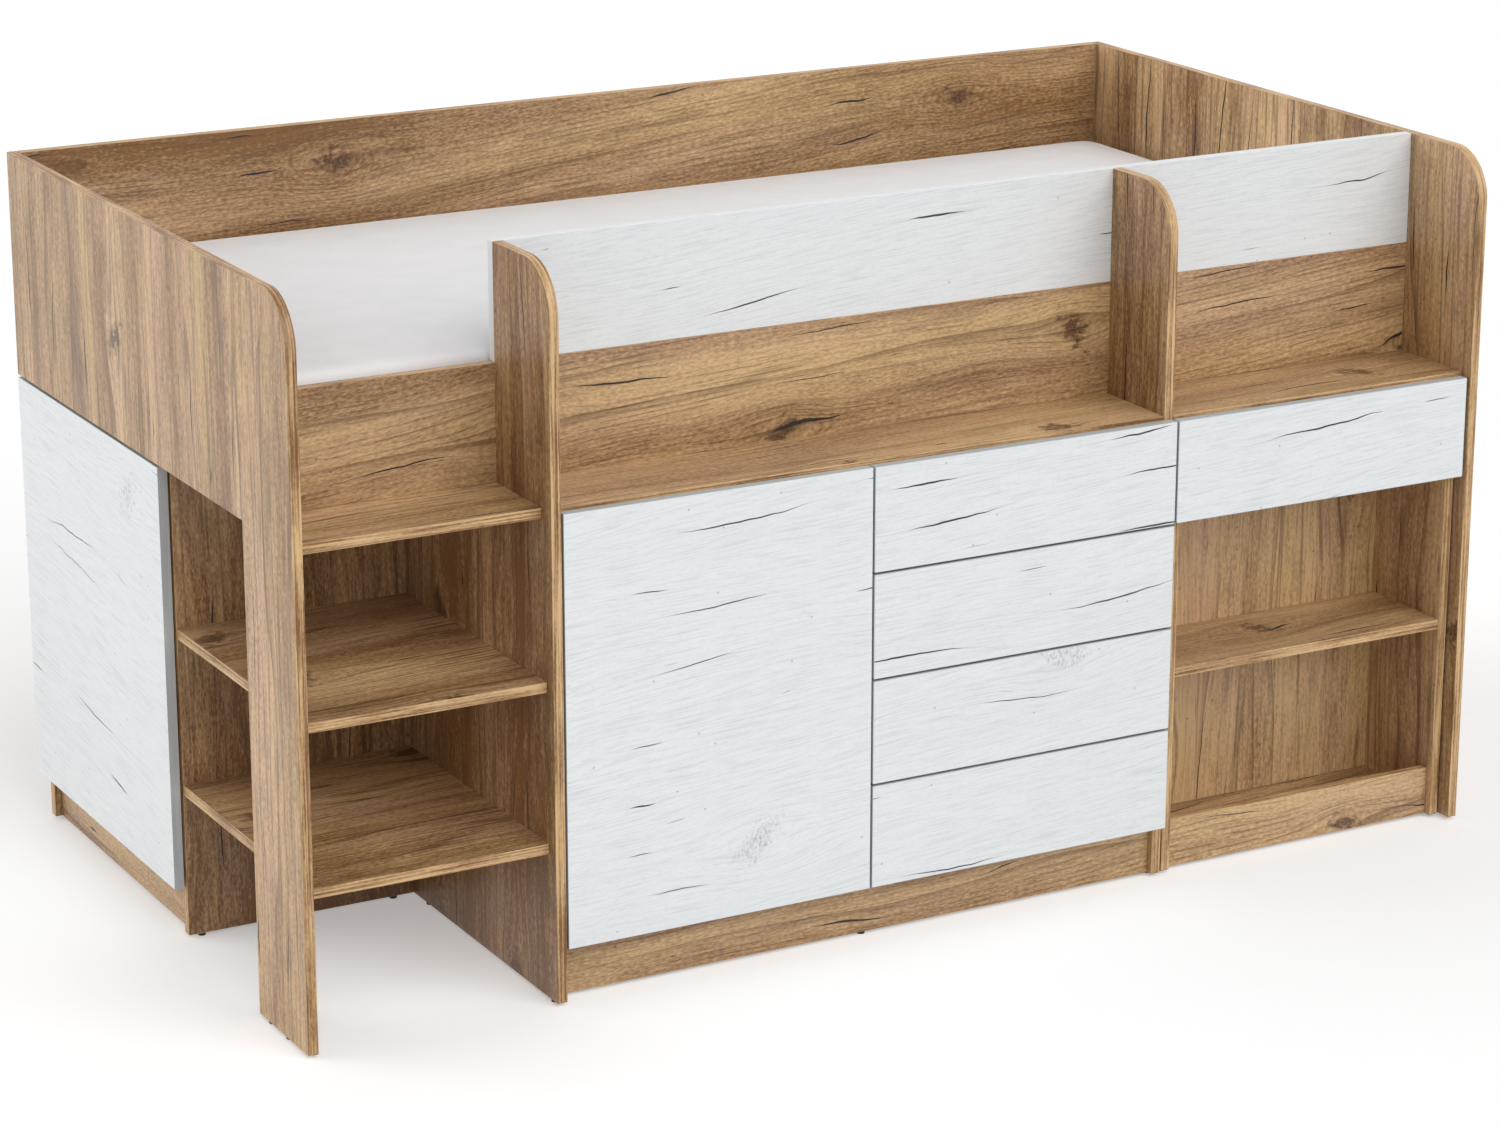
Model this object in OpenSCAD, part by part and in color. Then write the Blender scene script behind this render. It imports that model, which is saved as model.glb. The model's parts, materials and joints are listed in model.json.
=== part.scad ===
// Cabin bed: a raised single bed over storage steps, a cupboard, drawers, an end
// locker and a roll-out desk, made of coated boards.
// X runs along the bed, Y from its front to the wall side, Z up. The origin is on
// the floor, in the middle of the outline seen from above. All sizes are in mm.

/* [Mattress] */
// Length of the mattress
mattress_l = 2000; // [1800:10:2100]
// Width of the mattress
mattress_w = 900; // [800:10:1000]
// Thickness of the mattress at its edges
mattress_t = 146; // [110:2:180]
// Extra height of the mattress in its middle
mattress_crown = 4; // [0:1:12]
// How far the long and short sides draw in between the corners
mattress_draw = 3; // [0:1:8]
// Radius of the mattress corners seen from above
mattress_corner_r = 40; // [25:5:80]
// Radius of the mattress's upper and lower edges
mattress_edge_r = 16; // [8:2:24]
// Free play at each end of the mattress
mattress_end_gap = 4; // [2:1:10]
// Free play along each side of the mattress
mattress_side_gap = 3.5; // [2:0.5:10]

/* [Boards] */
// Thickness of the coated boards
board_t = 16; // [15:1:19]
// Thickness of the hardboard sheets
hardboard_t = 3; // [2:0.5:5]
// Radius of the rounded upper front corners
corner_r = 80; // [30:5:120]
// Clearance between pieces that touch softly or are grouped in one part
seam = 0.2; // [0.1:0.1:0.5]

/* [Outline] */
// Depth of the ledge and the steps in front of the side wall
fin_d = 180; // [150:5:260]
// Clear width of the step bay at the left end
entry_w = 380; // [340:10:420]
// Clear width of the cupboard and drawers between the dividers
cabinet_w = 1041; // [960:1:1080]
// Height of the upper faces of the top step and the ledges
deck_z = 757; // [700:1:820]
// Height of the side wall below the guard rail
wall_h = 179; // [150:1:220]
// Height of the guard rail
rail_h = 179; // [140:1:220]
// How far the left end panel's band reaches below the ledges
band_drop = 2; // [0:1:10]
// Depth of the front leg of the left end panel
leg_d = 181; // [160:1:220]

/* [Glides] */
// Height of the floor glides
glide_h = 5; // [3:1:8]
// Diameter of the glides
glide_dia = 12; // [10:1:14]
// Play between the desk and the glides at its sides
glide_play = 0.3; // [0.2:0.1:1]
// Distance of the leg's front glide behind the fronts
leg_glide = 85; // [30:5:100]
// Distance between the two glides of the leg
leg_glide_step = 65; // [30:5:75]
// Distance of a divider's front glide behind its front edge
divider_glide = 25; // [15:1:60]
// Distance of a divider's middle glide behind the fronts
middle_glide = 467; // [300:1:600]
// Distance of a divider's rear glide in front of the wall side
rear_glide = 45; // [20:5:100]
// Distance of the right end panel's outer glides from its edges
end_glide = 60; // [20:5:150]
// Distance of the locker's outer glides behind its front edges
locker_glide = 24; // [12:1:60]
// Distance of the locker's inner glides from the left divider
locker_inner_glide = 32; // [12:1:60]
// Distance of the desk's front side glides behind its front edges
side_glide = 36; // [15:1:60]
// Distance between the side glides that guide the desk
side_glide_step = 114; // [60:1:125]

/* [Steps] */
// Distance of the top step behind the fronts
top_step_setback = 29; // [20:1:40]
// Height of the upper face of the middle step
middle_step_z = 498; // [460:1:540]
// Height of the upper face of the bottom step
bottom_step_z = 250; // [200:1:300]

/* [Fronts] */
// Thickness of the doors and drawer fronts
front_t = 16; // [15:1:19]
// Gap between the fronts and the cabinet edges behind them
front_back_gap = 4; // [2:0.5:6]
// Gap between two fronts, and between a front and the left divider
front_gap = 3.3; // [2.5:0.1:5]
// Distance of the fronts' upper edges below the ledges
front_drop = 5; // [3:1:12]
// Height of the fronts' lower edges
front_z = 88; // [70:1:95]
// Width of the cupboard door
door_w = 509.4; // [430:0.2:540]
// How far the drawer fronts cover the edge of the right divider
divider_cover = 11; // [6:0.5:12]
// Gap between the desk drawer's front and the right end panel
desk_front_gap = 6; // [4:0.5:10]

/* [Cabinet] */
// Depth of the cupboard and drawer cabinet behind its front edges
cabinet_d = 500; // [470:5:560]
// Height of the plinths
plinth_h = 80; // [70:1:84]
// Distance of the plinths behind the cabinet edges
plinth_recess = 12; // [8:1:30]
// Height of the loose shelf behind the cupboard door
cabinet_shelf_z = 430; // [330:5:540]
// Distance of the loose shelves' front edges behind the cabinet edges
shelf_recess = 20; // [10:1:60]
// Play of a loose shelf at each side
shelf_gap = 0.5; // [0.3:0.1:1.5]
// Diameter of the shelf pins
pin_dia = 5; // [4:0.5:7]
// Length of the shelf pins
pin_l = 9; // [6:1:12]
// Distance of the front pins behind a loose shelf's front edge
pin_inset = 40; // [20:5:80]
// Distance of the rear pins from the cabinet's or the locker's rear end
rear_pin_inset = 60; // [20:5:100]

/* [End locker] */
// Width of the end locker and its door
locker_w = 608; // [520:1:640]
// Gap between the end door and the left end panel above it
end_door_gap = 4.5; // [3:0.5:8]
// Height of the end door's lower edge
end_door_z = 84; // [60:1:90]
// Height of the loose shelf in the end locker
locker_shelf_z = 410; // [320:5:520]

/* [Bed base] */
// Height of the slat bearers
bearer_h = 36; // [25:1:45]
// Width of the slat bearers
bearer_w = 25; // [20:1:40]
// Number of slats
slat_count = 14; // [10:1:18]
// Width of a slat
slat_w = 68; // [50:2:80]
// Thickness of a slat
slat_t = 12; // [8:1:20]
// Gap between a slat's end and the boards
slat_gap = 1; // [0.5:0.5:4]
// Gap under the mattress
soft_gap = 0.3; // [0.2:0.1:0.8]

/* [Drawer boxes] */
// Length of the cabinet drawers' sides
box_l = 450; // [400:10:455]
// Height of the cabinet drawers' sides
box_h = 110; // [90:1:115]
// Length of the desk drawer's sides
desk_box_l = 350; // [300:10:400]
// Height of the desk drawer's sides
desk_box_h = 90; // [70:1:95]
// Height of a drawer box above the lower edge of its front
box_lift = 30; // [26:1:36]
// Thickness of the drawer box boards
box_t = 12; // [10:1:16]
// Height of a drawer bottom above the lower edge of the box
bottom_lift = 8; // [5:1:14]

/* [Drawer runners] */
// Room for a runner beside a drawer box
runner_w = 13; // [12.7:0.1:14]
// Sheet thickness of the runners
sheet_t = 1.2; // [1:0.1:1.5]
// Height of the cabinet runner
channel_h = 30; // [28:1:34]
// Height of the drawer box above the foot of the cabinet runner
channel_drop = 4; // [3:0.5:6]
// Width of the drawer runner's flange under the box
flange_w = 11; // [8:1:12]
// Diameter of the runner rollers
runner_roller_dia = 16; // [14:1:17]
// Width of the runner rollers
runner_roller_w = 5; // [4:0.5:6]
// Running clearance of the rollers in the runners
roller_clear = 0.6; // [0.4:0.1:1]
// How much shorter a channel's upper lip is than its foot
lip_step = 1; // [0.5:0.5:2]

/* [Door hinges] */
// Diameter of the hinge cups
cup_dia = 35; // [35:1:40]
// Depth of the hinge cups
cup_depth = 11; // [9:0.5:12]
// Distance from the door's edge to the cup's centre
cup_inset = 22.5; // [21:0.5:26]
// Wall thickness of the hinge cups
cup_wall = 1.5; // [1:0.1:2]
// Clearance between a cup and its hole in the door
cup_clear = 0.2; // [0.1:0.1:0.4]
// Height of a hinge cup's flange
cup_flange_h = 62; // [52:1:70]
// Width of a hinge cup's flange
cup_flange_w = 16; // [12:1:18]
// Thickness of a hinge cup's flange
cup_flange_t = 1.2; // [1:0.1:1.5]
// How far a hinge cup's round rim reaches past its hole
cup_rim = 1.5; // [1:0.5:2.5]
// Length of a hinge arm behind the door
arm_l = 62; // [50:1:80]
// Width of a hinge arm
arm_w = 12; // [10:1:16]
// Thickness of a hinge arm
arm_t = 5; // [4:0.5:7]
// How far a hinge arm's nose reaches past the cup
nose_reach = 1; // [0.5:0.5:3]
// Length of a hinge arm's cranked part before it lies on its plate
crank_l = 10; // [6:1:16]
// Thickness of a hinge plate
plate_t = 5; // [4:0.5:7]
// Length of a hinge plate along its board
plate_l = 20; // [14:1:30]
// Height of a hinge plate
plate_h = 48; // [40:2:56]
// Distance of a hinge plate behind the front end of its arm
plate_set = 22; // [18:1:30]
// Distance of the hinges from the door's upper and lower edges
hinge_inset = 90; // [60:5:140]
// Play between a hinge arm and the cup's flange
arm_gap = 0.4; // [0.3:0.1:0.8]

/* [Roll-out desk] */
// Gap between the desk and the boards at its sides
desk_side_gap = 4.5; // [3:0.5:8]
// Distance of the desk's front edges behind the cabinet edges
desk_recess = 4; // [2:1:8]
// Gap between the desk top and the ledge above it
desk_headroom = 6; // [4:1:15]
// Length of the desk from its front edges to its rear panel
desk_l = 1026; // [900:2:1060]
// Depth of the desk's shelf unit with its back
desk_unit_d = 193; // [170:1:260]
// Height of the upper face of the desk's shelf
desk_shelf_z = 343.5; // [300:0.5:400]
// Height of the side aprons below the desk top
apron_h = 119; // [115:1:124]

/* [Desk rollers] */
// Height of a roller with its bracket
roller_h = 20; // [18:0.5:24]
// Diameter of the desk rollers
wheel_dia = 17; // [14:0.5:17]
// Width of the desk rollers
wheel_w = 12; // [8:1:16]
// Diameter of the roller axles
axle_dia = 4; // [3:0.5:5]
// Radial clearance of a roller on its axle
axle_clear = 0.08; // [0.02:0.02:0.1]
// Distance of the rollers from the desk's sides
wheel_inset = 60; // [45:5:120]
// Length and width of a bracket's plate
bracket_l = 28; // [24:1:34]
// Sheet thickness of a bracket
bracket_t = 1.5; // [1:0.1:2]

/* [Hidden] */
$fn = 64;

// Colours as the eye sees them on the object
golden_oak = [0.70, 0.55, 0.38];
white_oak = [0.90, 0.91, 0.92];
white_board = [0.93, 0.93, 0.92];
cloth = [0.90, 0.90, 0.91];
birch = [0.86, 0.76, 0.58];
steel = [0.72, 0.72, 0.73];
black_plastic = [0.07, 0.07, 0.08];
grey_plastic = [0.35, 0.35, 0.36];

// Places along X, measured from the left end panel's outer face
left_x = board_t + entry_w;
cab_x = left_x + board_t;
right_x = cab_x + cabinet_w;
bay_x = right_x + board_t;
bed_l = mattress_l + 2 * mattress_end_gap + 2 * board_t;
end_x = bed_l - board_t;

// Places along Y, measured from the fronts
carcass_y = front_t + front_back_gap;
wall_y = fin_d;
inner_y = wall_y + board_t;
back_y = inner_y + mattress_w + 2 * mattress_side_gap;
bed_d = back_y + board_t;
cab_back_y = carcass_y + cabinet_d;
locker_y = bed_d - locker_w;
plinth_y = carcass_y + plinth_recess;

// Heights
rail_z = deck_z + wall_h;
bed_h = rail_z + rail_h;
band_z = deck_z - band_drop;
ledge_z = deck_z - board_t;
plinth_z = glide_h + plinth_h;
floor_z = plinth_z + board_t;
front_top = deck_z - front_drop;
slat_z = deck_z + bearer_h;
mattress_z = slat_z + slat_t + soft_gap;

// Fronts
drawers = 4;
door_x = cab_x + front_gap;
split_x = door_x + door_w;
drawer_x = split_x + front_gap;
drawer_end = right_x + divider_cover;
drawer_front_h = (front_top - front_z - (drawers - 1) * front_gap) / drawers;
drawer_pitch = drawer_front_h + front_gap;
partition_x = split_x + front_gap / 2 - board_t / 2;
drawer_bay_x = partition_x + board_t;
desk_front_x = drawer_end + front_gap;
desk_front_end = end_x - desk_front_gap;
end_door_top = band_z - end_door_gap;
function drawer_z(i) = front_top - drawer_front_h - (i - 1) * drawer_pitch;

// Desk
desk_x = bay_x + desk_side_gap;
desk_end = end_x - desk_side_gap;
desk_in_x = desk_x + board_t;
desk_in_end = desk_end - board_t;
desk_y = carcass_y + desk_recess;
desk_back_y = desk_y + desk_unit_d - board_t;
desk_rear_y = desk_y + desk_l - board_t;
desk_top_z = ledge_z - desk_headroom;
desk_under_z = desk_top_z - board_t;
apron_z = desk_under_z - apron_h;
desk_plinth_y = desk_y + plinth_recess;
desk_floor_z = roller_h + board_t;
front_wheel_y = (desk_plinth_y + desk_back_y + 2 * board_t) / 2;
rear_wheel_y = desk_rear_y + board_t / 2;
wheel_xs = [desk_x + wheel_inset, desk_end - wheel_inset];
wheel_z = wheel_dia / 2;

// Places the corner frame so that the origin is in the middle of the outline
module placed(colour) color(colour) translate([-bed_l / 2, -bed_d / 2, 0]) children();

// A board from its lowest corner to its highest
module board(low, high) translate(low) cube(high - low);

// A panel that stands across the bed, cut from an outline in Y and Z
module cross_panel(x) translate([x, 0, 0]) rotate([90, 0, 90])
    linear_extrude(board_t) children();

// Outline from the lowest front corner up to a rounded upper front corner
module rounded_front(y0, y1, z0, z1) {
    translate([y0 + corner_r, z0]) square([y1 - y0 - corner_r, z1 - z0]);
    translate([y0, z0]) square([corner_r, z1 - z0 - corner_r]);
    intersection() {
        translate([y0 + corner_r, z1 - corner_r]) circle(r = corner_r, $fn = 180);
        translate([y0, z1 - corner_r]) square(corner_r);
    }
}

// A divider: a deep lower part with a rounded fin above the ledge
module divider(x, y0) cross_panel(x) union() {
    rounded_front(y0, fin_d, glide_h, bed_h);
    translate([fin_d - seam, glide_h]) square([bed_d - fin_d + seam, deck_z - glide_h]);
}

// --- Bed frame -------------------------------------------------------------

module left_end_panel() placed(golden_oak) cross_panel(0) union() {
    rounded_front(0, leg_d, glide_h, bed_h);
    translate([leg_d - seam, band_z]) square([bed_d - leg_d + seam, bed_h - band_z]);
}

module right_end_panel() placed(golden_oak) cross_panel(end_x)
    rounded_front(0, bed_d, glide_h, bed_h);

module left_divider() placed(golden_oak) divider(left_x, 0);

module right_divider() placed(golden_oak) divider(right_x, carcass_y);

module back_board() placed(golden_oak)
    board([board_t, back_y, deck_z], [end_x, bed_d, bed_h]);

module side_wall() placed(golden_oak)
    board([board_t, wall_y, deck_z], [end_x, inner_y, rail_z]);

module guard_rail() placed(white_oak)
    board([left_x, wall_y, rail_z], [end_x, inner_y, bed_h]);

module top_step() placed(golden_oak)
    board([board_t, top_step_setback, ledge_z], [left_x, inner_y, deck_z]);

module step(z) placed(golden_oak)
    board([carcass_y, carcass_y, z - board_t], [left_x, locker_y, z]);

module middle_step() step(middle_step_z);

module bottom_step() step(bottom_step_z);

module desk_ledge() placed(golden_oak)
    board([bay_x, carcass_y, ledge_z], [end_x, inner_y, deck_z]);

module slat_bearers() placed(birch) {
    board([board_t, inner_y, deck_z], [end_x, inner_y + bearer_w, slat_z]);
    board([board_t, back_y - bearer_w, deck_z], [end_x, back_y, slat_z]);
}

module bed_slats() placed(birch) {
    pitch = (end_x - board_t - slat_w) / slat_count;
    for (i = [0 : slat_count - 1]) {
        x = board_t + pitch * (i + 0.5);
        board([x, inner_y + slat_gap, slat_z], [x + slat_w, back_y - slat_gap, slat_z + slat_t]);
    }
}

// Floor glides: one list of places for each panel that stands on them
glide_places = concat(
    [for (y = [leg_glide, leg_glide + leg_glide_step]) [board_t / 2, y]],
    [for (y = [divider_glide, middle_glide, bed_d - rear_glide]) [left_x + board_t / 2, y]],
    [for (y = [carcass_y + divider_glide, middle_glide, bed_d - rear_glide])
        [right_x + board_t / 2, y]],
    [for (y = [end_glide, bed_d / 2, bed_d - end_glide]) [end_x + board_t / 2, y]],
    [for (y = [locker_y, back_y], x = [carcass_y + locker_glide, left_x - locker_inner_glide])
        [x, y + board_t / 2]],
    [[(cab_x + right_x) / 2, plinth_y + board_t / 2]]
);

// Side glides on the divider and the end panel guide the desk between them
side_glide_ys = [desk_y + side_glide, desk_y + side_glide + side_glide_step];

module plastic_glides() placed(black_plastic) {
    for (p = glide_places) translate([p[0], p[1], 0])
        cylinder(d = glide_dia, h = glide_h);
    for (y = side_glide_ys) {
        translate([bay_x, y, apron_z + apron_h / 2]) rotate([0, 90, 0])
            cylinder(d = glide_dia, h = desk_side_gap - glide_play);
        translate([end_x, y, apron_z + apron_h / 2]) rotate([0, -90, 0])
            cylinder(d = glide_dia, h = desk_side_gap - glide_play);
    }
}

// --- Mattress --------------------------------------------------------------

// Points of a quarter circle, without its last point
function quarter(c, r, a, n) =
    [for (i = [0 : n]) c + r * [cos(a + 90 * i / n), sin(a + 90 * i / n)]];

// Points between p and q, drawn in to the left of the way from p to q
function drawn_side(p, q, n, pull) =
    let (d = (q - p) / norm(q - p))
    [for (i = [1 : n]) p + (q - p) * i / (n + 1) + pull * sin(180 * i / (n + 1)) * [-d[1], d[0]]];

// A rounded rectangle with half sizes h, corner radius r and drawn-in sides
function pad_ring(h, r, pull) =
    let (c = [for (k = [0 : 3]) quarter(
        [(k == 0 || k == 1 ? 1 : -1) * (h[0] - r), (k == 1 || k == 2 ? 1 : -1) * (h[1] - r)],
        r, 90 * k - 90, 4)])
    concat(
        c[0], drawn_side(c[0][4], c[1][0], 4, pull),
        c[1], drawn_side(c[1][4], c[2][0], 8, pull),
        c[2], drawn_side(c[2][4], c[3][0], 4, pull),
        c[3], drawn_side(c[3][4], c[0][0], 8, pull));

// Levels of the mattress from the middle of its underside to the middle of its top:
// the inset from the outline, the height and the share of the drawn-in sides
edge_steps = 4;
edge_share = 0.3;
edge_low = [for (i = [0 : edge_steps])
    [mattress_edge_r * (1 - sin(90 * i / edge_steps)),
     mattress_edge_r * (1 - cos(90 * i / edge_steps)), edge_share * i / edge_steps]];
edge_high = [for (i = [edge_steps : -1 : 0])
    [edge_low[i][0], mattress_t - edge_low[i][1], edge_low[i][2]]];
crown_insets = [50, 150, 280, 400];
least_ring_r = 6;
function crown_z(inset) =
    mattress_t + mattress_crown * sin(90 * min(1, inset / (mattress_w / 2)));
pad_levels = concat(
    edge_low,
    [[0, mattress_t / 2, 1]],
    edge_high,
    [for (i = crown_insets) [i, crown_z(i), 0]]);

module mattress() placed(cloth) translate([bed_l / 2, (inner_y + back_y) / 2, mattress_z]) {
    rings = [for (v = pad_levels)
        [for (p = pad_ring(
            [mattress_l / 2 - v[0], mattress_w / 2 - v[0]],
            max(least_ring_r, mattress_corner_r - v[0]), mattress_draw * v[2]))
            [p[0], p[1], v[1]]]];
    n = len(rings[0]);
    m = len(rings);
    points = concat(
        [for (ring = rings) for (p = ring) p],
        [[0, 0, 0], [0, 0, mattress_t + mattress_crown]]);
    faces = concat(
        [for (j = [0 : m - 2], i = [0 : n - 1])
            [j * n + i, (j + 1) * n + i, (j + 1) * n + (i + 1) % n]],
        [for (j = [0 : m - 2], i = [0 : n - 1])
            [j * n + i, (j + 1) * n + (i + 1) % n, j * n + (i + 1) % n]],
        [for (i = [0 : n - 1]) [m * n, i, (i + 1) % n]],
        [for (i = [0 : n - 1]) [m * n + 1, (m - 1) * n + (i + 1) % n, (m - 1) * n + i]]);
    polyhedron(points = points, faces = faces, convexity = 4);
}

// --- Cupboard and drawer cabinet -------------------------------------------

module cabinet_top() placed(golden_oak)
    board([cab_x, carcass_y, ledge_z], [right_x, cab_back_y, deck_z]);

module cabinet_bottom() placed(white_board)
    board([cab_x, carcass_y, plinth_z], [right_x, cab_back_y, floor_z]);

module cabinet_partition() placed(white_board)
    board([partition_x, carcass_y, floor_z], [drawer_bay_x, cab_back_y, ledge_z]);

module cabinet_shelf() placed(white_board) board(
    [cab_x + shelf_gap, carcass_y + shelf_recess, cabinet_shelf_z - board_t],
    [partition_x - shelf_gap, cab_back_y - shelf_gap, cabinet_shelf_z]);

module cabinet_plinth() placed(golden_oak)
    board([cab_x, plinth_y, glide_h], [right_x, plinth_y + board_t, plinth_z]);

module cabinet_back() placed(white_board)
    board([cab_x, cab_back_y, plinth_z], [right_x, cab_back_y + hardboard_t, deck_z]);

// --- End locker ------------------------------------------------------------

module locker_side(y) placed(golden_oak)
    board([carcass_y, y, glide_h], [left_x, y + board_t, band_z - board_t]);

module locker_front_side() locker_side(locker_y);

module locker_rear_side() locker_side(back_y);

module locker_top() placed(golden_oak)
    board([carcass_y, locker_y, band_z - board_t], [left_x, bed_d, band_z]);

module locker_bottom() placed(golden_oak)
    board([carcass_y, locker_y + board_t, plinth_z], [left_x, back_y, floor_z]);

module locker_shelf() placed(golden_oak) board(
    [carcass_y + shelf_recess, locker_y + board_t + shelf_gap, locker_shelf_z - board_t],
    [left_x - shelf_gap, back_y - shelf_gap, locker_shelf_z]);

module locker_plinth() placed(golden_oak)
    board([plinth_y, locker_y + board_t, glide_h], [plinth_y + board_t, back_y, plinth_z]);

// Shelf pins stand on the side boards, right under the loose shelves
pin_ys = [carcass_y + shelf_recess + pin_inset, cab_back_y - rear_pin_inset];
pin_xs = [carcass_y + shelf_recess + pin_inset, left_x - rear_pin_inset];

module shelf_pins() placed(steel) {
    for (y = pin_ys) {
        translate([cab_x, y, cabinet_shelf_z - board_t - pin_dia / 2 - seam])
            rotate([0, 90, 0]) cylinder(d = pin_dia, h = pin_l);
        translate([partition_x, y, cabinet_shelf_z - board_t - pin_dia / 2 - seam])
            rotate([0, -90, 0]) cylinder(d = pin_dia, h = pin_l);
    }
    for (x = pin_xs) {
        translate([x, locker_y + board_t, locker_shelf_z - board_t - pin_dia / 2 - seam])
            rotate([-90, 0, 0]) cylinder(d = pin_dia, h = pin_l);
        translate([x, back_y, locker_shelf_z - board_t - pin_dia / 2 - seam])
            rotate([90, 0, 0]) cylinder(d = pin_dia, h = pin_l);
    }
}

// --- Doors -----------------------------------------------------------------

// In a door's own frame X runs along the door from its hinge edge, Y goes from its
// face to its back, and Z starts at its lower edge.
module door_frame(which) {
    if (which == "front") translate([door_x, 0, front_z]) children();
    else translate([0, bed_d, end_door_z]) rotate([0, 0, -90]) children();
}

front_door_h = front_top - front_z;
end_door_h = end_door_top - end_door_z;
function hinge_zs(h) = [hinge_inset, h - hinge_inset];

module door_panel(w, h) difference() {
    cube([w, front_t, h]);
    for (z = hinge_zs(h)) translate([cup_inset, front_t + 1, z]) rotate([90, 0, 0])
        cylinder(d = cup_dia, h = cup_depth + 1 + cup_clear);
}

module hinge_cups(h) for (z = hinge_zs(h)) translate([cup_inset, front_t, z]) difference() {
    union() {
        rotate([90, 0, 0]) cylinder(d = cup_dia - 2 * cup_clear, h = cup_depth);
        translate([-cup_flange_w / 2, 0, -cup_flange_h / 2])
            cube([cup_flange_w, cup_flange_t, cup_flange_h]);
        rotate([-90, 0, 0]) cylinder(d = cup_dia + 2 * cup_rim, h = cup_flange_t);
    }
    translate([0, cup_flange_t + 1, 0]) rotate([90, 0, 0])
        cylinder(d = cup_dia - 2 * cup_clear - 2 * cup_wall, h = cup_depth + cup_flange_t + 1 - cup_wall);
}

// The plate is screwed to the board whose face is at x = face, the arm clips on it and
// its nose reaches over the cup
module hinge_plate(h, face) for (z = hinge_zs(h)) {
    arm_y = front_t + cup_flange_t + arm_gap;
    translate([face, arm_y + plate_set, z - plate_h / 2]) cube([plate_t, plate_l, plate_h]);
    translate([0, 0, z - arm_w / 2]) linear_extrude(arm_w) union() {
        translate([face, arm_y + crank_l]) square([plate_t + arm_t, arm_l - crank_l]);
        translate([face, arm_y]) square([cup_inset + cup_dia / 2 + nose_reach - face, arm_t]);
        translate([face + plate_t, arm_y]) square([arm_t, arm_l / 2]);
    }
}

module front_door() placed(white_oak) door_frame("front") door_panel(door_w, front_door_h);

module front_door_cups() placed(steel) door_frame("front") hinge_cups(front_door_h);

module end_door() placed(white_oak) door_frame("end") door_panel(locker_w, end_door_h);

module end_door_cups() placed(steel) door_frame("end") hinge_cups(end_door_h);

module hinge_plates() placed(steel) {
    door_frame("front") hinge_plate(front_door_h, cab_x - door_x);
    door_frame("end") hinge_plate(end_door_h, bed_d - back_y);
}

// --- Drawers ---------------------------------------------------------------

// A box of two sides, a rear board and a bottom sheet, behind the front's back face
module drawer_box(x0, x1, z, l, h) {
    y0 = front_t;
    y1 = front_t + l;
    board([x0, y0, z], [x0 + box_t, y1, z + h]);
    board([x1 - box_t, y0, z], [x1, y1, z + h]);
    board([x0 + box_t + seam, y1 - box_t, z + bottom_lift + hardboard_t + seam],
        [x1 - box_t - seam, y1, z + h]);
    board([x0 + box_t + seam, y0, z + bottom_lift],
        [x1 - box_t - seam, y1, z + bottom_lift + hardboard_t]);
}

// One side's channel on the cabinet board, with its roller at the front end. Drawn for
// the left side: X runs from the cabinet board to the drawer box.
module channel(z, l) {
    z0 = z - channel_drop;
    lip = runner_w - sheet_t - 2 * seam;
    roller_x = sheet_t + seam;
    translate([0, carcass_y, z0]) {
        cube([sheet_t, l, channel_h]);
        cube([lip, l, sheet_t]);
        translate([0, 0, channel_h - sheet_t]) cube([lip - lip_step, l, sheet_t]);
        translate([0, runner_roller_dia, sheet_t + roller_clear + runner_roller_dia / 2])
            rotate([0, 90, 0]) cylinder(d = runner_roller_dia, h = roller_x + runner_roller_w);
    }
}

// One side's drawer runner under the box side, with its roller at the rear end
module slider(z, l) {
    web_x = runner_w - sheet_t;
    rail_z0 = z - channel_drop + sheet_t + 2 * roller_clear + runner_roller_dia;
    translate([web_x, front_t, z - sheet_t]) {
        cube([sheet_t, l, rail_z0 - z + 2 * sheet_t]);
        cube([sheet_t + flange_w, l, sheet_t]);
    }
    translate([sheet_t + 2 * seam, front_t, rail_z0]) cube([web_x - sheet_t - seam, l, sheet_t]);
    translate([web_x - runner_roller_w, front_t + l - runner_roller_dia / 2,
        z - channel_drop + sheet_t + roller_clear + runner_roller_dia / 2])
        rotate([0, 90, 0]) cylinder(d = runner_roller_dia, h = runner_roller_w + sheet_t / 2);
}

// Draws a left-hand runner piece at both sides of an opening
module both_sides(x0, x1) {
    translate([x0, 0, 0]) children();
    translate([x1, 0, 0]) mirror([1, 0, 0]) children();
}

module drawer_front(i) placed(white_oak)
    board([drawer_x, 0, drawer_z(i)], [drawer_end, front_t, drawer_z(i) + drawer_front_h]);

module cabinet_box(i) placed(white_board)
    drawer_box(drawer_bay_x + runner_w, right_x - runner_w, drawer_z(i) + box_lift, box_l, box_h);

module cabinet_sliders(i) placed(white_board)
    both_sides(drawer_bay_x, right_x) slider(drawer_z(i) + box_lift, box_l);

module cabinet_runners() placed(white_board)
    for (i = [1 : drawers]) both_sides(drawer_bay_x, right_x) channel(drawer_z(i) + box_lift, box_l);

module drawer_1_front() drawer_front(1);
module drawer_1_box() cabinet_box(1);
module drawer_1_runners() cabinet_sliders(1);
module drawer_2_front() drawer_front(2);
module drawer_2_box() cabinet_box(2);
module drawer_2_runners() cabinet_sliders(2);
module drawer_3_front() drawer_front(3);
module drawer_3_box() cabinet_box(3);
module drawer_3_runners() cabinet_sliders(3);
module drawer_4_front() drawer_front(4);
module drawer_4_box() cabinet_box(4);
module drawer_4_runners() cabinet_sliders(4);

// --- Roll-out desk ---------------------------------------------------------

desk_box_z = drawer_z(1) + box_lift;

module desk_top() placed(golden_oak)
    board([desk_x, desk_y, desk_under_z], [desk_end, desk_y + desk_l, desk_top_z]);

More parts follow.
